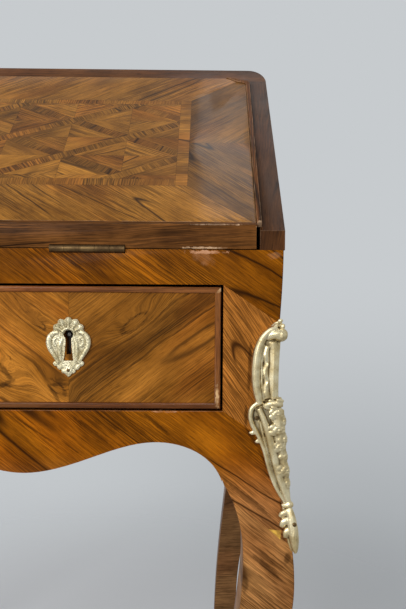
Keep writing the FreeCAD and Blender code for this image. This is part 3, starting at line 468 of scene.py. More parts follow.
FRONT_VENEER = veneer(
    "tulipwood_front", (172, 101, 14), (106, 57, 3), (40, 18, 3), bare=(210, 156, 118),
    low=((196, 140, 82), (126, 84, 42), (255, 204, 88)), polish=0.03, gloss=0.03,
    spots=((278.5, LEVEL_MM - 2.4, 19, 2.0, 0), (241, LEDGE_MM - 0.8, 14, 1.0, 0)),
    rubs=((275, LEVEL_MM - 8, 14, 7, -20), (339, LEVEL_MM - 5, 8, 4, 0)),
    stains_and_shadows=(*SHIN_STAINS, *MOUNT_DIRT_AND_SHADOW, *FRONT_STREAKS),
)
DRAWER_VENEER = veneer(
    "tulipwood_drawers", (190, 124, 46), (128, 78, 20), (46, 26, 8), veining=0.75, polish=0.05, gloss=0.04,
    knots=KNOTS, stains_and_shadows=(*KEYHOLE_DARKENING, *KNOT_EDGES),
    streaks=((-36, 14, 0.72), (-41, 5, 0.85), (-24, 2.5, 0.85), (-48, 1.5, 0.8), (4, 2, 0.5)),
)
FALL_VENEER = veneer(
    "tulipwood_fall", (188, 128, 50), (117, 74, 22), (44, 26, 10), polish=0.22, haze=0.12,
)
DARK_VENEER = veneer(
    "rosewood_bands", (108, 68, 36), (66, 39, 19), (28, 16, 10), veining=0.8, polish=0.08,
)
LIPPING_VENEER = veneer(
    "rosewood_lipping", (138, 88, 42), (76, 44, 18), (28, 16, 8), polish=0.03, gloss=0.03,
    spots=((274, LEVEL_MM + 1.5, 22, 1.2, 0), (285, LEVEL_MM + 22.6, 26, 0.8, 0), *TORN_BEAD_END),
)
SIDE_VENEER = veneer(
    "tulipwood_sides", (172, 104, 24), (108, 61, 10), (42, 21, 6), polish=0.05, gloss=0.04,
    low=((170, 124, 78), (116, 82, 50), RAW_WOOD),
)
NEST_VENEER = board("walnut_nest", (140, 96, 56), (104, 66, 36), (58, 36, 20))
OAK_ACROSS = board("oak_across", (172, 136, 92), (140, 104, 64), (84, 60, 38))
OAK_DEEP = board("oak_front_to_back", (168, 132, 90), (136, 100, 62), (84, 60, 38), (0, 0, 90))
GILT_BRONZE = metal("gilt_bronze", (242, 227, 186), (194, 173, 126), (78, 58, 32), 0.36, 0.42, 0.48)
CHASED_BRONZE = metal(
    "chased_bronze", (240, 230, 196), (202, 188, 146), (84, 66, 40), 0.40, 0.42, 0.48, 0.8 * MM, 0.45,
)
BEAD_VENEER = veneer(
    "tulipwood_beads", (150, 94, 46), (108, 62, 28), (46, 22, 10), bare=(226, 184, 132),
    veining=0.6, polish=0.16, haze=0.2, gloss=0.1,
    # The second spot, on the bead's upper right corner, is a painted highlight (a glint) in the bare colour;
    # the first is a worn place
    spots=((287.8, 571, 15, 1.8, 90), (289.6, 668, 4, 1.6, 50)),
)
OLD_BRASS = metal("old_brass", (122, 98, 64), (86, 66, 44), (38, 29, 20), 0.42)
LOCK_IRON = metal("lock_iron", (96, 92, 88), (60, 56, 54), (52, 34, 24), 0.34)


# Meshes and pieces


def mesh_of(made, name):
    """Mesh data from finished work."""
    mesh = bpy.data.meshes.new(name)
    made.to_mesh(mesh)
    made.free()
    return mesh


def set_out(name, data):
    """New object in the scene."""
    item = bpy.data.objects.new(name, data)
    bpy.context.scene.collection.objects.link(item)
    return item


def applied(item):
    """Mesh of an object with its modifiers applied."""
    return bpy.data.meshes.new_from_object(item.evaluated_get(bpy.context.evaluated_depsgraph_get()))


def dress(name, mesh, material, body, slot, *replaced, smooth=22.0):
    """Turns mesh data into a piece of the desk."""
    piece = set_out(name, mesh)
    mesh.polygons.foreach_set("use_smooth", [True] * len(mesh.polygons))
    mesh.set_sharp_from_angle(angle=math.radians(smooth))
    mesh.materials.clear()
    mesh.materials.append(material)
    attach(piece, body)
    if replaced:
        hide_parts(*replaced)


def to_piece(made, name, material, body, slot, *replaced, smooth=22.0):
    """Turns finished work into a piece of the desk."""
    dress(name, mesh_of(made, name), material, body, slot, *replaced, smooth=smooth)


# Laying veneer on copies of the frame's solids

GLUE_WIDTH = 0.3 * MM
EASED = 0.5 * MM


def front_face(face):
    return face.normal.y < -FACING


def side_face(face):
    return abs(face.normal.x) > FACING


def add_marks(made):
    """Layers in which worn faces and glue lines are noted."""
    made.faces.layers.int.new("worn")
    made.faces.layers.int.new("glue")


def copy_of(name):
    """Mesh of a frame node with its flat faces whole."""
    made = bmesh.new()
    made.from_mesh(nodes[name].data)
    bmesh.ops.remove_doubles(made, verts=made.verts, dist=1e-6)
    flat = math.radians(0.4)
    bmesh.ops.dissolve_limit(
        made, angle_limit=flat, verts=made.verts, edges=made.edges, use_dissolve_boundaries=False,
    )
    made.normal_update()
    add_marks(made)
    return made


def cut(made, faces, point, normal):
    """Cuts the given faces along a plane, as a saw cuts a sheet of veneer."""
    geometry = set()
    for face in faces:
        geometry.add(face)
        geometry.update(face.edges)
        geometry.update(face.verts)
    bmesh.ops.bisect_plane(made, geom=list(geometry), plane_co=point, plane_no=normal, dist=1e-7)


def halve(made, normal, point=Vector()):
    """Cuts the whole work along a plane."""
    cut(made, list(made.faces), point, normal)
    made.normal_update()


def bevel(made, edges, offset, steps, mark):
    """Bevels edges and notes the new faces in a layer of marks."""
    result = bmesh.ops.bevel(
        made, geom=edges, offset=offset, offset_type="OFFSET", segments=steps, profile=0.5,
        affect="EDGES", clamp_overlap=True,
    )
    noted = made.faces.layers.int[mark]
    for face in result["faces"]:
        face[noted] = 1
    made.normal_update()


def ease(made, size, keep=None, steps=2):
    """Rounds the sharp edges whose middle keep allows and marks them as rubbed."""
    sharp = []
    for edge in made.edges:
        if len(edge.link_faces) == 2 and edge.calc_face_angle() > math.radians(30):
            if keep is None or keep((edge.verts[0].co + edge.verts[1].co) / 2):
                sharp.append(edge)
    bevel(made, sharp, size, steps, "worn")


def glue_lines(made, rule, chosen, width=GLUE_WIDTH):
    """Narrow dark joints between the chosen coplanar faces that belong to different sheets."""
    joints = []
    for edge in made.edges:
        if len(edge.link_faces) == 2 and edge.calc_face_angle() < math.radians(8):
            pair = [rule(face.calc_center_median(), face.normal) for face in edge.link_faces]
            if all(chosen(face) for face in edge.link_faces) and pair[0] != pair[1]:
                joints.append(edge)
    bevel(made, joints, width / 2, 1, "glue")


def sheet(first, second, angle, key, tone=0.0, faded=0.0, close=1.0):
    """One sheet of veneer: grain and cross directions, place in the log, tone and fading.

    The key picks the place in the log. Lines lie wider apart where close is under 1.
    """
    turn = math.radians(angle)
    along = first * math.cos(turn) + second * math.sin(turn)
    across = second * math.cos(turn) - first * math.sin(turn)
    draw = random.Random(key)
    return along, across * close, draw.uniform(0, 9), draw.uniform(0, 9), tone, faded


def lay_grain(made, rule):
    """Writes each sheet's grain map and marks on to the faces."""
    grain = made.loops.layers.uv.new("grain")
    marks = made.loops.layers.float_color.new("sheet")
    worn = made.faces.layers.int["worn"]
    glue = made.faces.layers.int["glue"]
    for face in made.faces:
        along, across, start, side, tone, faded = rule(face.calc_center_median(), face.normal)
        for loop in face.loops:
            spot = loop.vert.co
            loop[grain].uv = (spot.dot(along) + start, spot.dot(across) + side)
            loop[marks] = (tone, 0.35 * face[worn], face[glue], 1.0 - faded)


def sides_of(place):
    return 1.0 if place.x >= 0 else -1.0


# Rules of the veneer: which sheet lies where

RAIL_SEAM = math.tan(math.radians(34))
SHIN_TOP, SHIN_SEAM = 480 * MM, 0.7


def front_rule(place, normal):
    """Front of the case: rail, post and apron sheets meet on slanting seams, mirrored at the middle."""
    side = sides_of(place)
    outward = AXIS_X * side
    x = abs(place.x)
    if normal.y < -FACING:
        past = max(0.0, x - POST_INNER)
        if place.z > OPENING_TOP - past * RAIL_SEAM:
            return sheet(outward, AXIS_Z, -36, "rail", 0.06)
        if place.z > OPENING_LOW - past * RAIL_SEAM:
            return sheet(outward, AXIS_Z, -55, "post", 0.55, 0.3)
        if place.z > SHIN_TOP - past * SHIN_SEAM:
            return sheet(outward, AXIS_Z, -38, "apron d", 0.24)
        return sheet(outward, AXIS_Z, -40, "shin", 0.29)
    if abs(normal.x) > FACING:
        return side_rule(place, normal)
    return sheet(outward, AXIS_Y, 0, "edge", -0.1)


def side_rule(place, normal):
    """Sides of the case: two sheets that meet in the middle of the depth."""
    half = AXIS_Y if place.y >= 0 else -AXIS_Y
    if abs(normal.x) > FACING:
        if place.z > LEVEL:
            return sheet(half, AXIS_Z, 38, "cheek side", 0.6)
        return sheet(half, AXIS_Z, -40, "side", 0.0)
    if abs(normal.y) > FACING:
        return sheet(AXIS_X * sides_of(place), AXIS_Z, 3, "back edge", -0.2)
    return sheet(AXIS_Y, AXIS_X, 0, "under edge", -0.2)


# Legs


def leg_sections(name, heights):
    """Lowest and highest x and y of a leg at each height."""
    mesh = nodes[name].data
    points = np.array([vertex.co for vertex in mesh.vertices])
    ends = np.array([edge.vertices for edge in mesh.edges])
    start, stop = points[ends[:, 0]], points[ends[:, 1]]
    low = np.minimum(start[:, 2], stop[:, 2])
    high = np.maximum(start[:, 2], stop[:, 2])
    rows = []
    for height in heights:
        hit = (low <= height) & (high >= height) & (high - low > 1e-7)
        share = (height - start[hit, 2]) / (stop[hit, 2] - start[hit, 2])
        crossing = start[hit] + share[:, None] * (stop[hit] - start[hit])
        rows.append((*crossing[:, :2].min(0), *crossing[:, :2].max(0)))
    return rows


def ring_points(x0, y0, x1, y1, radii, steps=4):
    """Rectangle with rounded corners, counter-clockwise from the lower left one."""
    centres = (
        (x0 + radii[0], y0 + radii[0]), (x1 - radii[1], y0 + radii[1]),
        (x1 - radii[2], y1 - radii[2]), (x0 + radii[3], y1 - radii[3]),
    )
    points = []
    for corner, (centre_x, centre_y) in enumerate(centres):
        for step in range(steps):
            turn = math.radians(180 + 90 * corner + 90 * step / (steps - 1))
            away = radii[corner]
            points.append((centre_x + away * math.cos(turn), centre_y + away * math.sin(turn)))
    return points


def loft(made, rings):
    """Skin over closed rings of points, with a cap at each end."""
    rows = [[made.verts.new(point) for point in ring] for ring in rings]
    count = len(rows[0])
    for lower, upper in zip(rows, rows[1:]):
        for j in range(count):
            k = (j + 1) % count
            made.faces.new((lower[j], lower[k], upper[k], upper[j]))
    made.faces.new(list(reversed(rows[0])))
    made.faces.new(rows[-1])


JOINT_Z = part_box("front_apron")[0].z
LEG_STEPS = 130
LEG_FOOT = 3.05 * MM
LEG_TALL = LEVEL - 3.1 * MM
LEG_HEIGHTS = [LEG_FOOT + step * LEG_TALL / LEG_STEPS for step in range(LEG_STEPS + 1)]
OUTER_CORNER, FREE_CORNER, JOINED_CORNER = 1.4 * MM, 1.2 * MM, 0.1 * MM
CHIP = ((335.5 * MM, 450 * MM), (347.3 * MM, 449 * MM), (346.5 * MM, 441 * MM))
CHIP_REACH = 12 * MM
CHIPPED = 9


def chip_out(made):
    """Three-cornered chip in the veneer of the right shin, where the bare wood shows."""
    corners = [Vector((x, FRONT, z)) for x, z in CHIP]
    middle = sum(corners, Vector()) / 3
    lines = []
    for start, stop in zip(corners, corners[1:] + corners[:1]):
        lines.append((start, (stop - start).cross(AXIS_Y).normalized()))

    def in_reach(face):
        return front_face(face) and abs(face.calc_center_median().z - middle.z) < CHIP_REACH

    def in_chip(spot):
        return all((spot - start).dot(normal) * (middle - start).dot(normal) > 0 for start, normal in lines)

    for start, normal in lines:
        cut(made, [face for face in made.faces if in_reach(face)], start, normal)
    made.normal_update()
    worn = made.faces.layers.int["worn"]
    for face in made.faces:
        if front_face(face) and in_chip(face.calc_center_median()):
            face[worn] = CHIPPED


def cabriole_leg(name, front):
    """Leg rebuilt from its sections, with rubbed corners and its veneer in slanting sheets."""
    rings = []
    for height, (x0, y0, x1, y1) in zip(LEG_HEIGHTS, leg_sections(name, LEG_HEIGHTS)):
        joint = JOINED_CORNER if height > JOINT_Z else FREE_CORNER
        outer = (1 if x1 > 0 else 0) if front else (2 if x1 > 0 else 3)
        radii = [OUTER_CORNER if corner == outer else joint for corner in range(4)]
        rings.append([(x, y, height) for x, y in ring_points(x0, y0, x1, y1, radii)])
    made = bmesh.new()
    loft(made, rings)
    made.normal_update()
    add_marks(made)
    rule = front_rule if front else side_rule
    if front:
        side = 1 if rings[0][0][0] > 0 else -1
        for level, seam in ((OPENING_TOP, RAIL_SEAM), (OPENING_LOW, RAIL_SEAM), (SHIN_TOP, SHIN_SEAM)):
            facing = [face for face in made.faces if front_face(face)]
            point = Vector((side * POST_INNER, FRONT, level))
            cut(made, facing, point, Vector((side * seam, 0, 1)).normalized())
        made.normal_update()
        glue_lines(made, rule, front_face)
        if side > 0:
            chip_out(made)
    lay_grain(made, rule)
    material = FRONT_VENEER if front else SIDE_VENEER
    to_piece(made, name + "_veneered", material, "case", "veneer", name, smooth=35)


for leg_side in ("right", "left"):
    cabriole_leg(leg_side + "_front_leg", True)
    cabriole_leg(leg_side + "_back_leg", False)


# Case boards


def front_edge(place):
    """Front edges of the boards, but not where they meet the posts."""
    return abs(abs(place.x) - POST_INNER) > 0.2 * MM and place.y < FRONT + 1 * MM


def rail_and_apron():
    for name in ("front_rail", "front_apron", "centre_stile"):
        made = copy_of(name)
        halve(made, AXIS_X)
        ease(made, EASED, front_edge)
        glue_lines(made, front_rule, front_face)
        lay_grain(made, front_rule)
        to_piece(made, name + "_veneered", FRONT_VENEER, "case", "veneer", name)


def side_boards():
    for name in ("right_side_panel", "left_side_panel"):
        made = copy_of(name)
        halve(made, AXIS_Y)
        glue_lines(made, side_rule, side_face)
        lay_grain(made, side_rule)
        to_piece(made, name + "_veneered", SIDE_VENEER, "case", "veneer", name, smooth=30)


def cheek_rule(place, normal):
    """Cheeks: dark bands on the slope and the front, veneer on the outside."""
    if abs(normal.x) > FACING:
        return side_rule(place, normal)
    if normal.y < -STRAIGHT:
        return sheet(AXIS_Z, AXIS_X, 8, "cheek front", 0.15)
    return sheet(UP_SLOPE, AXIS_X, 4, "cheek band", -0.36)


def bead_rule(place, normal):
    return sheet(UP_SLOPE, AXIS_X, 2, "bead")


def over_fall(place):
    return (place - HINGE).dot(OUT_OF_SLOPE) > FALL_FACE


def cheeks():
    for side in ("right", "left"):
        name = side + "_cheek"
        made = copy_of(name)
        ease(made, 0.8 * MM, lambda place: place.z > LEVEL + 2 * MM)
        lay_grain(made, cheek_rule)
        to_piece(made, name + "_veneered", DARK_VENEER, "case", "veneer", name)
        made = copy_of(name + "_bead")
        ease(made, 1.7 * MM, over_fall, steps=4)
        lay_grain(made, bead_rule)
        to_piece(made, name + "_moulding", LIPPING_VENEER, "case", "dark_moulding", name + "_bead", smooth=50)


def top_rule(place, normal):
    """Top: two sheets that meet in the middle, and a long-grained nosing."""
    side = sides_of(place)
    if normal.z > STRAIGHT:
        return sheet(AXIS_X * side, AXIS_Y, 38, "top", 0.05)
    return sheet(AXIS_X, AXIS_Z, 1, "nosing", 0.25)


def top_of_desk():
    made = copy_of("top_board")
    halve(made, AXIS_X)
    ease(made, 1.2 * MM, steps=3)
    glue_lines(made, top_rule, lambda face: face.normal.z > STRAIGHT)
    lay_grain(made, top_rule)
    to_piece(made, "top_board_veneered", DARK_VENEER, "case", "veneer", "top_board")


rail_and_apron()
side_boards()
cheeks()
top_of_desk()


# Fall front with its trellis of lozenges

STRIP_X0, STRIP_X1 = 246 * MM, 258 * MM
STRIP_LOW0, STRIP_LOW1 = 61.3 * MM, 72.5 * MM
STRIP_TOP0, STRIP_TOP1 = 227.5 * MM, 236.2 * MM
LOZENGE_X, LOZENGE_D = 63.75 * MM, 36.2 * MM
TRELLIS_D = 151.25 * MM
BAND_HALF = 5.2 * MM
WIDE_LINES = 0.55
SIDE_STRIP, LEVEL_STRIP = 41 * MM, 52 * MM
NEAR_TOP, NEAR_LOW, NEAR_SIDE = 28 * MM, 26 * MM, 50 * MM
BORDER_SEAM = 142 * MM
FALL_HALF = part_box("fall_panel")[1].x
FALL_TOP = max((vertex.co - HINGE).dot(UP_SLOPE) for vertex in nodes["fall_panel"].data.vertices) - LIP_TOP


def fall_place(spot):
    """Across and up the face of the fall, from the top edge of its lipping."""
    return spot.x, (spot - HINGE).dot(UP_SLOPE) - LIP_TOP


def fall_point(x, up):
    return HINGE + AXIS_X * x + UP_SLOPE * (up + LIP_TOP) + OUT_OF_SLOPE * FALL_FACE


def on_fall_face(face):
    return face.normal.dot(OUT_OF_SLOPE) > 0.99


def band_offset(x, up, lean):
    """Signed distance from the nearest trellis band that leans this way."""
    steep = LOZENGE_D / LOZENGE_X
    rise = (up - TRELLIS_D) - lean * steep * x
    period = 2 * LOZENGE_D
    shift = (rise - steep * LOZENGE_X) % period
    shift = shift - period if shift > period / 2 else shift
    return shift / math.hypot(1, steep)


def lozenge_rule(x, up):
    """Trellis: dark bands over lozenges whose grain leans both ways, some of them paler near the frame."""
    side = 1 if x >= 0 else -1
    lean_angle = math.degrees(math.atan2(LOZENGE_D, LOZENGE_X))
    for lean in (1, -1):
        if abs(band_offset(x, up, lean)) < BAND_HALF:
            turn = 90 + lean * lean_angle
            tone = -0.32 if lean < 0 else -0.2
            return sheet(AXIS_X, UP_SLOPE, turn, "band" + str(lean * side), tone, close=WIDE_LINES)
    column = math.floor(x / LOZENGE_X)
    row = math.floor((up - TRELLIS_D) / LOZENGE_D)
    tilt = 1 if (column + row) % 2 else -1
    near_edge = up > STRIP_TOP0 - NEAR_TOP or up < STRIP_LOW1 + NEAR_LOW or abs(x) > STRIP_X0 - NEAR_SIDE
    number = str((abs(column + 0.5), row))
    draw = random.Random(number)
    tone = draw.uniform(-0.14, 0.08) + (0.16 if near_edge and draw.random() > 0.35 else 0.0)
    return sheet(AXIS_X, UP_SLOPE, tilt * lean_angle, "lozenge" + number, tone)


def fall_rule(place, normal):
    """Fall: trellis in a frame of short strips, with mitred borders round it."""
    if normal.dot(OUT_OF_SLOPE) < -FACING:
        return sheet(AXIS_X, UP_SLOPE, 0, "fall edge", -0.3)
    if normal.dot(OUT_OF_SLOPE) < STRAIGHT:
        return sheet(UP_SLOPE if abs(normal.x) > FACING else AXIS_X, OUT_OF_SLOPE, 0, "fall edge", -0.3)
    x, up = fall_place(place)
    side = 1 if x >= 0 else -1
    out = AXIS_X * side
    across = abs(x)
    if across < STRIP_X0 and STRIP_LOW1 < up < STRIP_TOP0:
        return lozenge_rule(x, up)
    if across < STRIP_X1 and STRIP_LOW0 < up < STRIP_TOP1:
        if across > STRIP_X0:
            number = int(up / SIDE_STRIP)
            return sheet(AXIS_X, UP_SLOPE, 2, "strip side" + str(number), 0.12 + 0.06 * (number % 2))
        number = int(across / LEVEL_STRIP)
        tone = -0.16 + 0.08 * (number % 2)
        return sheet(UP_SLOPE, AXIS_X, 2, "strip" + str((number, up > TRELLIS_D)), tone, close=WIDE_LINES)
    low_mitre = (across - STRIP_X1) * STRIP_LOW0 / (FALL_HALF - STRIP_X1)
    top_mitre = (across - STRIP_X1) * (FALL_TOP - STRIP_TOP1) / (FALL_HALF - STRIP_X1)
    if up < STRIP_LOW0 - max(0.0, low_mitre):
        return sheet(out, UP_SLOPE, -40, "low border", 0.04)
    if up > STRIP_TOP1 + max(0.0, top_mitre):
        return sheet(out, UP_SLOPE, 40, "top border", -0.14)
    if up > BORDER_SEAM:
        return sheet(out, UP_SLOPE, 46, "side border top", -0.4)
    return sheet(out, UP_SLOPE, -46, "side border low", -0.4)


def cut_fall(made, wanted, x, up, run_x, run_up):
    """Cuts the wanted part of the fall's face along a line through (x, up)."""
    normal = AXIS_X * -run_up + UP_SLOPE * run_x
    faces = []
    for face in made.faces:
        if on_fall_face(face) and wanted(*fall_place(face.calc_center_median())):
            faces.append(face)
    cut(made, faces, fall_point(x, up), normal.normalized())


def join_sheets(made, rule):
    """Takes out the cuts that lie inside one sheet."""
    spare = []
    for edge in made.edges:
        if len(edge.link_faces) == 2 and all(on_fall_face(face) for face in edge.link_faces):
            pair = [rule(face.calc_center_median(), face.normal) for face in edge.link_faces]
            if pair[0] == pair[1]:
                spare.append(edge)
    bmesh.ops.dissolve_edges(made, edges=spare, use_verts=True)
    made.normal_update()


def everywhere(x, up):
    return True


def in_strip(x, up):
    return abs(x) < STRIP_X1 and STRIP_LOW0 < up < STRIP_TOP1


def in_trellis(x, up):
    return abs(x) < STRIP_X0 and STRIP_LOW1 < up < STRIP_TOP0


def outside_strip(x, up):
    return not in_strip(x, up)


def fall_front():
    made = copy_of("fall_panel")
    cut_fall(made, everywhere, 0, 0, 0, 1)
    for up in (STRIP_LOW0, STRIP_TOP1):
        cut_fall(made, everywhere, 0, up, 1, 0)
    for side in (1, -1):
        cut_fall(made, everywhere, side * STRIP_X1, 0, 0, 1)
        low_run = (FALL_HALF - STRIP_X1) * side
        cut_fall(made, outside_strip, side * STRIP_X1, STRIP_LOW0, low_run, -STRIP_LOW0)
        cut_fall(made, outside_strip, side * STRIP_X1, STRIP_TOP1, low_run, FALL_TOP - STRIP_TOP1)
        cut_fall(made, lambda x, up: abs(x) > STRIP_X1, side * STRIP_X1, BORDER_SEAM, 1, 0)
        cut_fall(made, in_strip, side * STRIP_X0, 0, 0, 1)
    for up in (STRIP_LOW1, STRIP_TOP0):
        cut_fall(made, in_strip, 0, up, 1, 0)
    for number in range(1, 6):
        cut_fall(made, lambda x, up: in_strip(x, up) and abs(x) > STRIP_X0, 0, number * SIDE_STRIP, 1, 0)
        for side in (1, -1):
            spot = side * number * LEVEL_STRIP
            cut_fall(made, lambda x, up: in_strip(x, up) and not in_trellis(x, up), spot, 0, 0, 1)
    for lean in (1, -1):
        for number in range(-5, 6):
            x = (2 * number + 1) * LOZENGE_X
            for edge in (-1, 1):
                drop = edge * BAND_HALF * math.hypot(1, LOZENGE_D / LOZENGE_X)
                cut_fall(made, in_trellis, x, TRELLIS_D + drop, LOZENGE_X, lean * LOZENGE_D)
    for number in range(-3, 4):
        cut_fall(made, in_trellis, number * LOZENGE_X, 0, 0, 1)
    for number in range(-2, 3):
        cut_fall(made, in_trellis, 0, TRELLIS_D + number * LOZENGE_D, 1, 0)
    made.normal_update()
    join_sheets(made, fall_rule)
    ease(made, EASED, lambda place: (place - HINGE).dot(OUT_OF_SLOPE) > FALL_FACE - 1 * MM)
    glue_lines(made, fall_rule, on_fall_face, 0.35 * MM)
    lay_grain(made, fall_rule)
    to_piece(made, "fall_marquetry", FALL_VENEER, "fall", "veneer", "fall_panel")


def lipping_rule(place, normal):
    return sheet(AXIS_X, AXIS_Y if abs(normal.z) > STRAIGHT else AXIS_Z, 2, "lipping")


def lipping():
    made = copy_of("fall_lipping")
    ease(made, EASED, lambda place: place.y < FRONT + 1 * MM)
    lay_grain(made, lipping_rule)
    to_piece(made, "fall_lipping_rosewood", LIPPING_VENEER, "fall", "dark_moulding", "fall_lipping")


fall_front()
lipping()


# Drawer fronts

DRAWER_LOW, DRAWER_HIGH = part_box("right_drawer_front")
DRAWER_X = (DRAWER_LOW.x + DRAWER_HIGH.x) / 2
DRAWER_Z = (DRAWER_LOW.z + DRAWER_HIGH.z) / 2
DRAWER_HALF_X = (DRAWER_HIGH.x - DRAWER_LOW.x) / 2
DRAWER_HALF_Z = (DRAWER_HIGH.z - DRAWER_LOW.z) / 2


def drawer_rule(place, normal):
    """Two sheets that meet in a V at the keyhole; the heartwood streaks cross the outer one."""
    centre = Vector((DRAWER_X * sides_of(place), FRONT, DRAWER_Z))
    out = AXIS_X if place.x > centre.x else -AXIS_X
    if normal.y < -FACING:
        along, across, start, side, _, faded = sheet(out, AXIS_Z, 37, "drawer")
        if out.x * centre.x > 0:
            return along, across, start - along.dot(centre), -across.dot(centre), 0.0, faded
        return along, across, start - along.dot(centre), side + 1 - across.dot(centre), 0.5, faded
    return sheet(AXIS_X, AXIS_Y if abs(normal.z) > FACING else AXIS_Z, 0, "drawer edge", -0.2)


def cock_bead_rule(place, normal):
    """Beads round the drawers: lengths that meet in mitred corners."""
    centre = DRAWER_X * sides_of(place)
    if DRAWER_HALF_X - abs(place.x - centre) < DRAWER_HALF_Z - abs(place.z - DRAWER_Z):
        return sheet(AXIS_Z, AXIS_X, 1, "bead upright", 0.05)
    # Painted light and shade: the upper level bead is lighter and the lower one darker
    return sheet(AXIS_X, AXIS_Z, 1, "bead level", 0.15 if place.z > DRAWER_Z else -0.3)


def drawer_fronts():
    for side, sign in (("right", 1), ("left", -1)):
        body = side + "_drawer"
        made = copy_of(body + "_front")
        halve(made, AXIS_X, Vector((sign * DRAWER_X, 0, 0)))
        glue_lines(made, drawer_rule, front_face)
        lay_grain(made, drawer_rule)
        to_piece(made, body + "_front_veneered", DRAWER_VENEER, body, "veneer", body + "_front")
        made = copy_of(body + "_cock_bead")
        for end in (1, -1):
            for rise in (1, -1):
                corner_x = sign * DRAWER_X + end * DRAWER_HALF_X
                corner = Vector((corner_x, FRONT, DRAWER_Z + rise * DRAWER_HALF_Z))
                halve(made, Vector((rise, 0, -end)).normalized(), corner)
        lay_grain(made, cock_bead_rule)
        bead = body + "_cock_bead"
        to_piece(made, bead + "_polished", BEAD_VENEER, body, "dark_moulding", bead, smooth=40)


drawer_fronts()


# Castings: strands, buds and leaves that are melted into one skin


def smooth_path(points, steps):
    """Smooth curve through points of any number of values."""
    points = [np.array(point, float) for point in points]
    padded = [2 * points[0] - points[1], *points, 2 * points[-1] - points[-2]]
    path = []
    for a, b, c, d in zip(padded, padded[1:], padded[2:], padded[3:]):
        for step in range(steps):
            t = step / steps
            square = 2 * a - 5 * b + 4 * c - d
            cube = 3 * b - a - 3 * c + d
            path.append(0.5 * (2 * b + (c - a) * t + square * t ** 2 + cube * t ** 3))
    path.append(points[-1])
    return path


class Casting:
    """Collects strands and buds in flat (across, up, out) millimetres, then bends and melts them."""

    def __init__(self):
        self.made = bmesh.new()

    def skin(self, rings):
        loft(self.made, [[tuple(point) for point in ring] for ring in rings])

    def strand(self, points, flat=1.0, side=1, relief=1.0, steps=5, sides=10):
        """Tapering round strand along (across, up, out, radius) points.

        flat squeezes its height, side mirrors it across and relief lowers it.
        """
        placed = [(side * across, up, out * relief, radius) for across, up, out, radius in points]
        path = smooth_path(placed, steps)
        squeeze = flat * relief
        rings = []
        for number, here in enumerate(path):
            ahead = path[min(number + 1, len(path) - 1)][:3] - path[max(number - 1, 0)][:3]
            run = Vector(ahead).normalized()
            aside = run.cross(Vector((0, 0, 1)))
            aside = aside.normalized() if aside.length > 1e-6 else Vector((1, 0, 0))
            rise = aside.cross(run) * squeeze
            ring = []
            for corner in range(sides):
                turn = 2 * math.pi * corner / sides
                ring.append(Vector(here[:3]) + (aside * math.cos(turn) + rise * math.sin(turn)) * here[3])
            rings.append(ring)
        self.skin(rings)

    def bud(self, across, up, out, radius, height=None, turn=0.0, long=1.0):
        """Rounded bead, petal or leaf; long stretches it along its turn."""
        height = radius if height is None else height
        result = bmesh.ops.create_icosphere(self.made, subdivisions=2, radius=1.0)
        shape = (
            Matrix.Translation((across, up, out))
            @ Matrix.Rotation(math.radians(turn), 4, "Z")
            @ Matrix.Diagonal((radius * long, radius, height, 1.0))
        )
        bmesh.ops.transform(self.made, matrix=shape, verts=result["verts"])

    def rosette(self, across, up, out, radius, petals=5, turn=0.0):
        """Rose of two rings of petals round a bud."""
        self.bud(across, up, out + radius * 0.2, radius * 0.2, radius * 0.24)
        for share, wide, lift in ((0.42, 0.24, 0.16), (0.78, 0.38, 0.0)):
            turn += 180 / petals
            for petal in range(petals):
                angle = math.radians(turn + 360 * petal / petals)
                reach = radius * share
                self.bud(
                    across + reach * math.cos(angle), up + reach * math.sin(angle), out + radius * lift,
                    radius * wide, radius * 0.2, math.degrees(angle) + 90, 1.35,
                )

    def melted(self, name, bend, grain, keep=0.6):
        """Bends the flat work on to its seat, melts it with a voxel skin and thins the faces."""
        for vertex in self.made.verts:
            vertex.co = bend(*vertex.co)
        mesh = mesh_of(self.made, name + "_parts")
        work = set_out(name + "_parts", mesh)
        remesh = work.modifiers.new("melt", "REMESH")
        remesh.mode = "VOXEL"
        remesh.voxel_size = grain
        soft = work.modifiers.new("soften", "SMOOTH")
        soft.factor = 0.5
        soft.iterations = 2
        thin = work.modifiers.new("thin", "DECIMATE")
        thin.ratio = keep
        done = applied(work)
        done.name = name
        bpy.data.objects.remove(work)
        bpy.data.meshes.remove(mesh)
        return done


def mark_hollows(mesh, rounds, depth):
    """Marks how deep each point of a casting lies below its surroundings."""
    count = len(mesh.vertices)
    points, normals = np.empty(3 * count), np.empty(3 * count)
    mesh.vertices.foreach_get("co", points)
    mesh.vertices.foreach_get("normal", normals)
    points, normals = points.reshape(-1, 3), normals.reshape(-1, 3)
    ends = np.array([edge.vertices for edge in mesh.edges])
    neighbours = np.bincount(ends.ravel(), minlength=count)[:, None]
    soft = points
    for _ in range(rounds):
        total = np.zeros_like(points)
        np.add.at(total, ends[:, 0], soft[ends[:, 1]])
        np.add.at(total, ends[:, 1], soft[ends[:, 0]])
        soft = total / neighbours
    below = ((soft - points) * normals).sum(1)
    marks = mesh.attributes.new("hollow", "FLOAT", "POINT")
    marks.data.foreach_set("value", np.clip(below / depth, 0, 1))


# Knee mounts

HALF_BEND = 13.0
KNEE_HEIGHTS = np.array(LEG_HEIGHTS)
KNEE_SECTIONS = np.array(leg_sections("right_front_leg", LEG_HEIGHTS))


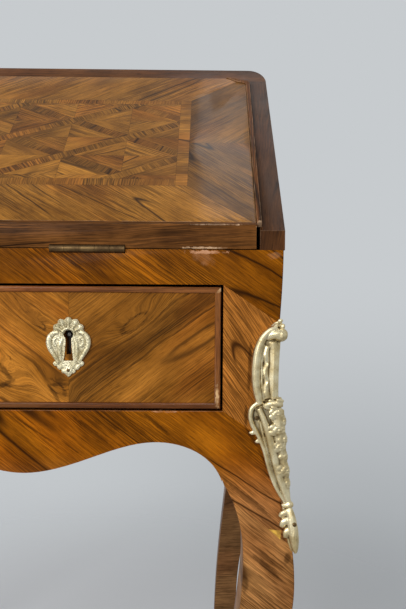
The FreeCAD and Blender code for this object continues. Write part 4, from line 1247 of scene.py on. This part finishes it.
def on_knee(across, up, out):
    """Bends flat work round the outer corner of the right front leg; across is negative on the front."""
    height = up * MM
    corner_x = np.interp(height, KNEE_HEIGHTS, KNEE_SECTIONS[:, 2])
    corner_y = np.interp(height, KNEE_HEIGHTS, KNEE_SECTIONS[:, 1])
    share = min(1.0, max(0.0, (across + HALF_BEND) / (2 * HALF_BEND)))
    turn = share * share * (3 - 2 * share) * math.pi / 2
    x = corner_x + (min(across, 0.0) + out * math.sin(turn)) * MM
    y = corner_y + (max(across, 0.0) - out * math.cos(turn)) * MM
    return Vector((x, y, height))


def knee_half(work, side):
    """One side of the knee mount; the work on the side of the leg lies in lower relief."""
    relief = 1.0 if side < 0 else 0.55

    def strand(points, flat=1.0):
        work.strand(points, flat, side, relief)

    # Fluted shaft: outer roll, thin ridge, wavy foliage in the channel, roll beside the corner
    strand([(4, 635, 2.4, 2.4), (9, 632, 2.6, 3), (14.4, 625.5, 2.2, 3.7), (18, 615, 2, 4.2),
            (19.3, 602, 2, 4.4), (19.1, 588, 2, 4.3), (17.5, 575, 2, 4), (15, 565, 2, 3.4)])
    strand([(12.6, 619, 2.6, 0.7), (14.2, 611, 3, 0.8), (14, 595, 3, 0.8), (13, 579, 3, 0.8),
            (11.6, 568, 2.8, 0.8)])
    strand([(9.8, 618, 2.2, 1.8), (11, 611, 2.4, 2.4), (10, 602, 2.3, 2.1), (10.8, 594, 2.4, 2.4),
            (9.6, 586, 2.3, 2.1), (10, 578, 2.4, 2.5), (8.6, 570, 2.8, 2.2)], 0.8)
    leaves = ((11.4, 608, 75), (9.4, 600, 105), (11, 591, 75), (9.2, 583, 105), (10.4, 574, 70))
    for across, up, turn in leaves:
        work.bud(side * across, up, 4.2 * relief, 0.9, 0.5, side * turn, 3.2)
    strand([(6, 622, 1, 3), (3.8, 612, 0, 4.3), (3.5, 596, 0, 4.5), (3.5, 580, 0, 4.4), (3.6, 569, 0.4, 3.8)])
    # Head
    strand([(0, 628.5, 3.6, 5.6), (4, 628.8, 3.2, 5), (8, 627.4, 2.4, 3.8), (11, 624.6, 1.6, 2.4)])
    # Ear and its rib down to the knot, inner rib and broad stem
    strand([(14.5, 566, 2.4, 2.2), (19.2, 564.5, 2.6, 2.3), (23.4, 560, 2.6, 2.4), (24.5, 553, 2.6, 2.4),
            (23.2, 546, 2.6, 2.3), (20.2, 539.5, 2.6, 2.1), (16.5, 531, 2.6, 2), (13.8, 520, 3, 1.9),
            (11.9, 506, 3, 1.8), (9.5, 494, 3, 1.7), (6.6, 484, 3, 1.6), (2.8, 475.5, 2.8, 1.6)])
    strand([(16, 549, 2.6, 1), (14.4, 539, 2.8, 1.1), (12, 526, 2.8, 1.1), (10, 510, 2.8, 1),
            (7.8, 496, 2.8, 1), (4.8, 484, 2.8, 0.9)])
    strand([(16.5, 561, 3, 2.8), (12.6, 551, 4, 3), (9.6, 538, 4.6, 2.8), (7.6, 524, 4.8, 2.7),
            (6, 508, 5, 2.6), (4.2, 494, 5, 2.4), (2.4, 483, 5, 2.2), (0.8, 475, 4.8, 2)])
    # Leaf tips, collar and lobes of the pendant
    strand([(20, 541, 2, 2.2), (23.4, 538.4, 2.4, 2.2), (26.5, 538.6, 1.8, 1)], 0.7)
    strand([(16.5, 533, 2, 2.1), (19.6, 530.6, 2.4, 2), (22, 530.4, 1.8, 0.9)], 0.7)
    strand([(12, 562.5, 2.6, 2.2), (7, 565.5, 4.6, 2.8), (0, 566, 6.6, 3.4)])
    for across, up, out in ((9.5, 562, 4.6), (6.5, 568, 6), (5, 562, 6.6), (2, 569, 8.4)):
        work.bud(side * across, up, out * relief, 1.8, 1.3, side * 30, 1.5)
    strand([(1.5, 467, 3.4, 2.6), (5.5, 465, 3, 2.6), (8.2, 462, 1.8, 1.8)], 0.8)
    strand([(1.5, 460, 3.6, 3), (5.8, 457.5, 3, 3), (8.2, 453, 1.8, 2)], 0.8)
    strand([(1.2, 452, 3.6, 3), (4.8, 448.5, 3, 2.8), (6, 443.5, 1.8, 1.8)], 0.8)


# Height and half width of the mount's back plate
KNEE_OUTLINE = (
    (640, 5), (634, 11), (626, 17), (614, 21.5), (600, 23), (586, 22.6), (574, 20), (566, 17.5),
    (561, 24), (553, 25.5), (545, 24), (536, 20.5), (524, 16), (510, 13.2), (496, 10.2), (484, 6.8),
    (475, 4.5), (468, 5), (458, 6), (448, 5), (438, 4), (431, 2),
)
KNEE_LIP = 1.6
GARLAND_TOP, GARLAND_END = 560, 490
FLOWERS = (
    (-3, 556, 6.4, 5.6), (2.5, 549, 7.4, 5.4), (-3, 542, 7.2, 6), (2, 533, 7.4, 5.4), (-2.5, 526, 6.6, 5),
    (1, 517, 6.8, 4.6), (-0.5, 505, 7, 6), (0.5, 493, 6.4, 4.2),
)


def knee_mount():
    """Cast scroll mount on the knee: fluted shaft, garland of flowers and leaf pendant."""
    work = Casting()
    back = []
    for up, half in KNEE_OUTLINE:
        back.append([
            (half, up, -0.4), (half - 0.3, up, KNEE_LIP), (half * 0.5, up, KNEE_LIP + 0.6),
            (0, up, KNEE_LIP + 0.8), (-half * 0.5, up, KNEE_LIP + 0.6), (-half + 0.3, up, KNEE_LIP),
            (-half, up, -0.4), (0, up, -1.0),
        ])
    work.skin(back)
    for side in (1, -1):
        knee_half(work, side)
    work.bud(0, 628, 3.8, 6.2)
    for across, up, out, radius in ((-1.5, 641, 2.2, 2.1), (0.5, 636, 3.8, 2.5), (-4.5, 636.5, 2.2, 1.9)):
        work.bud(across, up, out, radius)
    work.strand([(-1, 560, 3.4, 5.4), (-1, 540, 3.4, 5.6), (-0.5, 520, 3.4, 4.6), (0, 505, 3.4, 4.8),
                 (0, 492, 3.4, 3.6), (0, 478, 3.4, 2.6), (0, 472, 3.4, 3)])
    draw = random.Random("garland")
    for number, (across, up, out, radius) in enumerate(FLOWERS):
        work.rosette(across, up, out, radius, 5, 37 * number)
    for _ in range(14):
        across = draw.uniform(-5.5, 3.5)
        up = draw.uniform(GARLAND_END, GARLAND_TOP)
        work.bud(across, up, 6.6 - 0.3 * abs(across), draw.uniform(1.2, 1.8), 0.9, draw.uniform(0, 180), 1.8)
    work.strand([(-5, 472, 2.4, 1.8), (0, 473.5, 6, 2.4), (5, 472, 2.4, 1.8)])
    work.strand([(0, 470, 4, 2.4), (0, 462, 4.8, 3.6), (0, 450, 5, 4.2), (0, 440, 4.6, 3.6),
                 (0, 433, 3.8, 2.4), (0, 429.8, 3, 1)])
    work.strand([(-1, 453, 8.4, 0.6), (-2.2, 445, 7.6, 0.7), (-1, 436, 6, 0.5)])
    mesh = work.melted("knee_mount", on_knee, 0.55 * MM, 0.5)
    mark_hollows(mesh, 14, 0.62 * MM)
    return mesh


def mirrored_mesh(mesh, name):
    """Copy of a mesh mirrored to the other side of the desk."""
    made = bmesh.new()
    made.from_mesh(mesh)
    bmesh.ops.transform(made, matrix=Matrix.Diagonal((-1, 1, 1, 1)), verts=made.verts)
    bmesh.ops.reverse_faces(made, faces=made.faces)
    return mesh_of(made, name)


def screw_head(radius, height):
    """Slotted screw or nail head with a domed top, drawn upright at the origin."""
    rings = []
    for share, up in ((1.0, -0.5), (1.0, 0.35), (0.86, 0.75), (0.5, 0.98), (0.12, 1.0)):
        ring = []
        for step in range(16):
            turn = 2 * math.pi * step / 16
            ring.append((radius * share * math.cos(turn), radius * share * math.sin(turn), height * up))
        rings.append(ring)
    made = bmesh.new()
    loft(made, rings)
    return made


def screw_on(name, spot, out, radius, body):
    made = screw_head(radius, radius * 0.5)
    seat = Matrix.Translation(spot) @ Vector(out).to_track_quat("Z", "Y").to_matrix().to_4x4()
    bmesh.ops.transform(made, matrix=seat, verts=made.verts)
    to_piece(made, name, OLD_BRASS, body, "brass", smooth=40)


KNEE_SCREWS = ((-18.8, 551.9, 2.6), (-1.5, 456.7, 9.3))


def knee_mounts():
    right = knee_mount()
    left = mirrored_mesh(right, "left_knee_mount")
    for side, sign, mesh in (("right", 1, right), ("left", -1, left)):
        dress(side + "_knee_mount", mesh, GILT_BRONZE, "case", "gilt_bronze", side + "_chute", smooth=70)
        for number, (across, up, out) in enumerate(KNEE_SCREWS):
            spot = on_knee(across, up, out)
            spot.x *= sign
            screw_on(side + "_knee_screw_" + str(number), spot, (0.2 * sign, -1, 0), 1.9 * MM, "case")


knee_mounts()


# Escutcheons

KEYHOLE_UP = 11.2
EYE_RADIUS = 4.3
CREST_ROOT = 12
CREST = ((0, 24.2, 3.4), (-6.6, 22.6, 3.3), (6.6, 22.6, 3.3), (-11, 18, 3.2), (11, 18, 3.2))
# Height and half width of the plate
PLATE_OUTLINE = (
    (25, 5), (22, 10), (17, 13), (12.5, 15.5), (8, 19), (3, 19.6), (-2, 18), (-7, 15), (-12, 12), (-16, 10),
    (-19, 6.5), (-23, 4.5), (-26, 2),
)


def escutcheon_casting():
    """Cast keyhole plate: crest of lobes, C-scroll shoulders, ears and a bottom lobe."""
    work = Casting()
    plate = []
    for up, half in PLATE_OUTLINE:
        plate.append([(-half, up, -0.2), (half, up, -0.2), (half, up, 0.9), (half * 0.5, up, 1.5),
                      (-half * 0.5, up, 1.5), (-half, up, 0.9)])
    work.skin(list(reversed(plate)))
    for across, up, radius in CREST:
        work.bud(across, up, 1.1, radius, 1.6)
        lean = math.degrees(math.atan2(up - CREST_ROOT, across))
        root = (across * 0.55, CREST_ROOT + (up - CREST_ROOT) * 0.5, 1.6, 0.8)
        for spread in (-28, 0, 28):
            turn = math.radians(lean + spread)
            tip = (across + 1.9 * math.cos(turn), up + 1.9 * math.sin(turn), 2.3, 0.75)
            work.strand([root, tip], steps=3, sides=8)
    for side in (1, -1):
        work.strand([(9, 13.2, 1, 1.6), (13.5, 12.6, 1, 2.3), (17, 9, 1, 2.6), (18, 4, 1, 2.6),
                     (16.8, -1.2, 1, 2.4), (14, -6, 1, 2.1), (11.2, -10.5, 1, 1.9), (9.5, -14.5, 1, 1.6)],
                    0.8, side)
        work.strand([(10.5, 8.5, 1, 1.2), (13, 6.5, 1, 1.5), (13, 3, 1, 1.5), (11, 0.6, 1, 1.2)], 0.8, side)
        work.strand([(4.8, 8, 1, 1.4), (7, 4, 1, 1.9), (7.8, -2, 1, 2), (7.4, -8, 1, 1.8),
                     (6.6, -13, 1, 1.4)], 0.8, side)
        work.bud(side * 11.4, -15.2, 0.8, 2.6, 1.2, side * 20, 1.2)
        work.bud(side * 8, -18.4, 0.8, 2.4, 1.2, side * 50, 1.2)
        work.bud(side * 4.4, -22, 0.8, 2.3, 1.2)
    work.strand([(-5.5, 11, 1.7, 1.0), (-4.6, 15, 1.8, 1.1), (0, 17, 1.9, 1.1), (4.6, 15, 1.8, 1.1),
                 (5.5, 11, 1.7, 1.0)])
    work.bud(0, -21.6, 1.2, 4.6, 1.4)
    work.bud(0, -25.4, 1.0, 1.9, 1.1)
    return work.melted("escutcheon", lambda x, y, z: Vector((x, y, z)) * MM, 0.32 * MM, 0.5)


def keyhole_tool():
    """Upright cutter for the plate's keyhole: a round eye over a flaring slot."""
    outline = []
    for step in range(17):
        turn = math.radians(-50 + 280 * step / 16)
        outline.append((EYE_RADIUS * math.cos(turn), KEYHOLE_UP + EYE_RADIUS * math.sin(turn)))
    outline += [(-2.6, 5.5), (-3.4, -4), (-4.4, -12.4), (4.4, -12.4), (3.4, -4), (2.6, 5.5)]
    made = bmesh.new()
    loft(made, [[(x * MM, y * MM, z * MM) for x, y in outline] for z in (-3, 6)])
    return mesh_of(made, "keyhole_tool")


def pierced(mesh, tool_mesh):
    plate, tool = set_out("plate", mesh), set_out("tool", tool_mesh)
    hole = plate.modifiers.new("keyhole", "BOOLEAN")
    hole.operation = "DIFFERENCE"
    hole.solver = "EXACT"
    hole.object = tool
    done = applied(plate)
    bpy.data.objects.remove(plate)
    bpy.data.objects.remove(tool)
    return done


def escutcheons():
    casting = pierced(escutcheon_casting(), keyhole_tool())
    mark_hollows(casting, 12, 0.45 * MM)
    upright = Matrix(((1, 0, 0, 0), (0, 0, -1, 0), (0, 1, 0, 0), (0, 0, 0, 1)))
    drawer_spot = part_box("right_drawer_escutcheon")
    drawer_up = (drawer_spot[0].z + drawer_spot[1].z) / 2
    fall_low, fall_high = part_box("fall_escutcheon")
    fall_up = ((fall_low + fall_high) / 2 - HINGE).dot(UP_SLOPE)
    on_fall = Matrix.Translation(HINGE + UP_SLOPE * fall_up + OUT_OF_SLOPE * FALL_FACE)
    seats = {
        "right_drawer": Matrix.Translation((DRAWER_X, FRONT, drawer_up)) @ upright,
        "left_drawer": Matrix.Translation((-DRAWER_X, FRONT, drawer_up)) @ upright,
        "fall": on_fall @ Matrix.Rotation(SLOPE, 4, "X"),
    }
    for body, seat in seats.items():
        mesh = casting.copy()
        mesh.transform(seat)
        name = body + "_escutcheon"
        dress(name + "_cast", mesh, CHASED_BRONZE, body, "gilt_bronze", name, smooth=70)
        out = seat.to_3x3() @ AXIS_Z
        screw_on(name + "_nail", seat @ Vector((0, -21 * MM, 2.6 * MM)), out, 1.5 * MM, body)


escutcheons()


# Bronze shoes

SHOE_STEPS = 48
SHOE_CORNER = 3 * MM
SHOE_RIM = 30.0
PEAK_RISE = 11.76


def shoe_leaf():
    """Leaf and scrolls cast on the outer corner of the right front shoe."""
    work = Casting()
    work.strand([(0, 4, 2.6, 3), (0, 18, 3.4, 3.2), (0, 32, 2.8, 2.6), (0, 43, 2, 1.7), (0, 51, 1.4, 0.7)])
    x0, _, x1, _ = leg_sections("right_front_leg", [10 * MM])[0]
    middle = (x1 - x0) / MM - 9
    for side in (1, -1):
        for rise, reach, thick in ((7, 14, 3.4), (18, 10, 3), (29, 6, 2.4)):
            work.strand([(0, rise, 2.4, thick), (reach * 0.5, rise + 6, 3, thick * 1.1),
                         (reach * 0.85, rise + 11, 2.6, thick), (reach, rise + 15, 2.2, thick * 0.7),
                         (reach * 0.9, rise + 18, 2, thick * 0.4)], 0.65, side)
        work.strand([(2, 4.5, 2.6, 2.4), (middle * 0.6, 5.2, 2.8, 2.4), (middle, 5.4, 2.8, 2.4),
                     (middle + 6, 10, 2.8, 2.3), (middle + 5, 16.5, 2.8, 2.1), (middle - 1, 18.5, 2.8, 1.9),
                     (middle - 4.6, 14.5, 2.8, 1.7), (middle - 2, 10.8, 3, 1.6),
                     (middle + 1, 12.4, 3.2, 1.5)], 1.0, side)
    mesh = work.melted("shoe_leaf", on_knee, 0.6 * MM, 0.4)
    mark_hollows(mesh, 12, 0.6 * MM)
    return mesh


def shoe_mesh():
    """Right front shoe: a cup round the foot with a leaf-shaped rim, rolled edge and ribs."""
    made = bmesh.new()
    rings = []

    def ring_at(level, grow, lift):
        x0, y0, x1, y1 = leg_sections("right_front_leg", [max(3.2, level) * MM])[0]
        grown = grow * MM
        corners = x0 - grown, y0 - grown, x1 + grown, y1 + grown
        ring = []
        for x, y in ring_points(*corners, [SHOE_CORNER] * 4, SHOE_STEPS // 4):
            angle = math.atan2(y - (y0 + y1) / 2, x - (x0 + x1) / 2)
            peak = 0.55 + 0.45 * math.cos(4 * (angle - math.pi / 4))
            front = 0.5 + 0.5 * math.cos(angle + math.pi / 4)
            rib = 0.5 + 0.5 * math.cos(12 * (angle - math.pi / 4))
            high = level + lift * (0.55 * peak + 0.45 * front) * PEAK_RISE
            bulge = 0.7 * MM * rib * min(1.0, level / 12)
            away = Vector((math.cos(angle), math.sin(angle))) * bulge
            ring.append((x + away.x, y + away.y, high * MM))
        return ring

    for level in (0.0, 1.5, 4.0, 7.0, 10.0, 14.0, 18.0, 22.0, 26.0, SHOE_RIM):
        foot = 1.2 if level < 5 else 0.0
        rings.append(ring_at(level, 1.6 + foot, (level / SHOE_RIM) ** 2))
    rolled_edge = ((0.6, 2.4, 1.0), (1.4, 2.2, 1.0), (1.6, 0.2, 1.0), (-6.0, 0.1, 0.6))
    for above, grow, lift in rolled_edge:
        rings.append(ring_at(SHOE_RIM + above, grow, lift))
    loft(made, rings)
    mesh = mesh_of(made, "shoe")
    mark_hollows(mesh, 2, 1.0 * MM)
    return mesh


def shoes():
    made = bmesh.new()
    single, leaf = shoe_mesh(), shoe_leaf()
    middle = (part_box("right_front_leg")[0].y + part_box("right_back_leg")[1].y) / 2
    for flip_x in (1, -1):
        for flip_y in (1, -1):
            part = bmesh.new()
            part.from_mesh(single)
            part.from_mesh(leaf)
            shift = Matrix.Translation((0, middle, 0)) @ Matrix.Diagonal((flip_x, flip_y, 1, 1))
            shift = shift @ Matrix.Translation((0, -middle, 0))
            bmesh.ops.transform(part, matrix=shift, verts=part.verts)
            if flip_x * flip_y < 0:
                bmesh.ops.reverse_faces(part, faces=part.faces)
            made.from_mesh(mesh_of(part, "shoe_copy"))
    to_piece(made, "sabots_cast", GILT_BRONZE, "case", "gilt_bronze", "sabots", smooth=40)


shoes()


# Writing leather on the inside of the fall

# Distance from the edge and half width of the gilt lines
GILT_LINES = ((10 * MM, 0.5 * MM), (15 * MM, 1.3 * MM), (20 * MM, 0.5 * MM))


def leather_material():
    """Green leather, pebbled and rubbed, with a tooled gilt border."""
    made, web, shader = new_material("tooled_leather", IOR=1.45)
    flat = web.add("UVMap", uv_map="grain").outputs[0]
    x, y, _ = web.axes(flat)
    pebble = web.add("TexVoronoi", feature="F1")
    web.put(pebble.inputs["Vector"], web.stretch(flat, (900, 900, 1)))
    pebble.inputs["Scale"].default_value = 1.0
    wear = web.span(web.noise(flat, (9, 9, 1), 4, 0.6), 0.42, 0.72)
    colour = web.mix(wear, paint(58, 66, 40), paint(92, 92, 58))
    low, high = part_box("fall_leather")
    half_x = high.x
    half_y = (high - low).dot(UP_SLOPE) / 2
    side = web.minus(half_x, web.size(x))
    end = web.minus(half_y, web.size(y))
    inset = web.reckon("MINIMUM", side, end)
    gilt = None
    for centre, half in GILT_LINES:
        away = web.size(web.minus(inset, centre))
        line = web.span(away, half * 0.7, half, 1.0, 0.0)
        gilt = line if gilt is None else web.most(gilt, line)
    rubbed = web.span(web.noise(flat, (120, 120, 1), 3, 0.6), 0.36, 0.52)
    gilt = web.times(gilt, rubbed)
    web.put(shader.inputs["Base Color"], web.mix(gilt, colour, paint(196, 158, 84)))
    web.put(shader.inputs["Metallic"], web.times(gilt, 0.8))
    rough = web.span(wear, 0, 1, 0.6, 0.48)
    web.put(shader.inputs["Roughness"], web.minus(rough, web.times(gilt, 0.15)))
    web.bump(shader, web.minus(pebble.outputs["Distance"], gilt), 0.2 * MM, 0.5)
    return made


def leather():
    made = copy_of("fall_leather")
    low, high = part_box("fall_leather")
    middle = (low + high) / 2
    ease(made, 0.25 * MM)
    along = (AXIS_X, UP_SLOPE, -middle.dot(AXIS_X), -middle.dot(UP_SLOPE), 0.0, 0.0)
    lay_grain(made, lambda place, normal: along)
    to_piece(made, "fall_leather_tooled", leather_material(), "fall", "leather", "fall_leather")


leather()


# Frame nodes that show as they are


def both_sides(name):
    return "right_" + name, "left_" + name


FINISHES = {
    OAK_ACROSS: ("runner_frame", *both_sides("drawer_bottom"), "back_panel"),
    OAK_DEEP: ("centre_guide", *both_sides("drawer_box")),
    NEST_VENEER: (
        "writing_bed", "nest_shelf", "nest_divider_left", "nest_divider_centre", "nest_divider_right",
        *both_sides("nest_drawer"),
    ),
    OLD_BRASS: (
        *both_sides("case_leaf"), "case_screws", "hinge_pins", "stay_studs", *both_sides("fall_leaf"),
        "fall_screws", "stay_pivots", *both_sides("stay"), *both_sides("nest_knob"),
    ),
    LOCK_IRON: ("fall_lock", "fall_lock_bolt", *both_sides("drawer_lock"), *both_sides("drawer_lock_bolt")),
}
for finish, names in FINISHES.items():
    for node_name in names:
        nodes[node_name].data.materials.clear()
        nodes[node_name].data.materials.append(finish)


# Floor, light and camera

PALE = paint(199, 203, 206)
DIM = paint(160, 164, 167)


def floor_material():
    """Pale matt floor, painted darker towards +X as painted shade, that fades into the background far from
    the desk.
    """
    made, web, shader = new_material("pale_floor", Roughness=0.85)
    place = web.place()
    x, y, _ = web.axes(place)
    cloud = web.times(web.noise(place, (1.3, 1.3, 1), 3), 0.1)
    # Painted shade: the floor is lighter to the left and darker towards +X
    shade = web.plus(web.span(x, -0.1, 0.9), cloud)
    web.put(shader.inputs["Base Color"], web.mix(shade, paint(228, 231, 235), paint(196, 199, 202)))
    away = web.reckon("SQRT", web.plus(web.times(x, x), web.times(y, y)))
    clear = web.add("BsdfTransparent")
    blend = web.add("MixShader")
    web.put(blend.inputs[0], web.span(away, 0.35, 1.4))
    web.put(blend.inputs[1], shader.outputs[0])
    web.put(blend.inputs[2], clear.outputs[0])
    web.put(made.node_tree.nodes["Material Output"].inputs["Surface"], blend.outputs[0])
    return made


def studio():
    made = bmesh.new()
    bmesh.ops.create_grid(made, x_segments=24, y_segments=24, size=2.0)
    floor = set_out("floor", mesh_of(made, "floor"))
    floor.data.materials.append(floor_material())

    world = bpy.data.worlds.new("studio")
    world.use_nodes = True
    bpy.context.scene.world = world
    web = Web(world.node_tree)
    seen = world.node_tree.nodes["Background"]
    # Painted shade on the backdrop: darker below the horizon and towards the right
    aside, _, up = web.axes(web.add("TexCoord").outputs["Generated"])
    dim = web.times(web.span(up, 0.02, -0.5), web.span(aside, -0.25, 0.25, 0.2, 1.0))
    web.put(seen.inputs["Color"], web.mix(dim, PALE, DIM))
    lit = web.add("Background")
    lit.inputs["Color"].default_value = (1, 1, 1, 1)
    lit.inputs["Strength"].default_value = 0.42
    path = web.add("LightPath").outputs
    mirrored = web.most(path["Is Glossy Ray"], path["Is Transmission Ray"])
    shown = web.most(path["Is Camera Ray"], mirrored)
    blend = web.add("MixShader")
    web.put(blend.inputs[0], shown)
    web.put(blend.inputs[1], lit.outputs[0])
    web.put(blend.inputs[2], seen.outputs[0])
    web.put(world.node_tree.nodes["World Output"].inputs["Surface"], blend.outputs[0])

    for name, spot, target, width, depth, power in (
        ("front_softbox", (-1.0, -2.3, 1.7), (0.1, -0.1, 0.6), 1.5, 1.5, 47.0),
        ("top_softbox", (0.49, 0.12, 2.5), (0.49, 0.12, 0.0), 0.48, 0.76, 4.4),
        ("far_softbox", (0.49, 0.7, 2.5), (0.49, 0.7, 0.0), 0.48, 0.4, 1.0),
    ):
        lamp = bpy.data.lights.new(name, "AREA")
        lamp.shape = "RECTANGLE"
        lamp.size = width
        lamp.size_y = depth
        lamp.energy = power
        item = set_out(name, lamp)
        item.location = spot
        item.rotation_mode = "QUATERNION"
        item.rotation_quaternion = (Vector(target) - Vector(spot)).to_track_quat("-Z", "Y")


SENSOR = 36.0
PICTURE_TALL, FOCAL_PIXELS, SHIFT_PIXELS = 609, 640, -13
CAMERA_PLACE = (280 * MM, FRONT - 581 * MM, LEVEL - 27 * MM)
PITCH, ROLL, YAW = 2.24, 0.43, 0.62


def photograph_camera():
    """Camera close to the right half of the desk, a little below the writing level."""
    camera = bpy.data.cameras.new("camera")
    camera.sensor_fit = "AUTO"
    camera.sensor_width = SENSOR
    camera.lens = SENSOR * FOCAL_PIXELS / PICTURE_TALL
    camera.shift_x = SHIFT_PIXELS / PICTURE_TALL
    item = set_out("camera", camera)
    item.location = CAMERA_PLACE
    pitch, roll, yaw = (math.radians(angle) for angle in (PITCH, ROLL, YAW))
    ahead = Vector((math.sin(yaw) * math.cos(pitch), math.cos(yaw) * math.cos(pitch), -math.sin(pitch)))
    right = Vector((math.cos(yaw), -math.sin(yaw), 0))
    down = ahead.cross(right)
    image_right = right * math.cos(roll) - down * math.sin(roll)
    image_down = right * math.sin(roll) + down * math.cos(roll)
    turn = Matrix((image_right, -image_down, -ahead)).transposed()
    item.rotation_mode = "QUATERNION"
    item.rotation_quaternion = turn.to_quaternion()
    camera.clip_start = 0.01
    bpy.context.scene.camera = item


studio()
photograph_camera()
bpy.context.scene.view_settings.view_transform = "Standard"

bpy.context.view_layer.update()
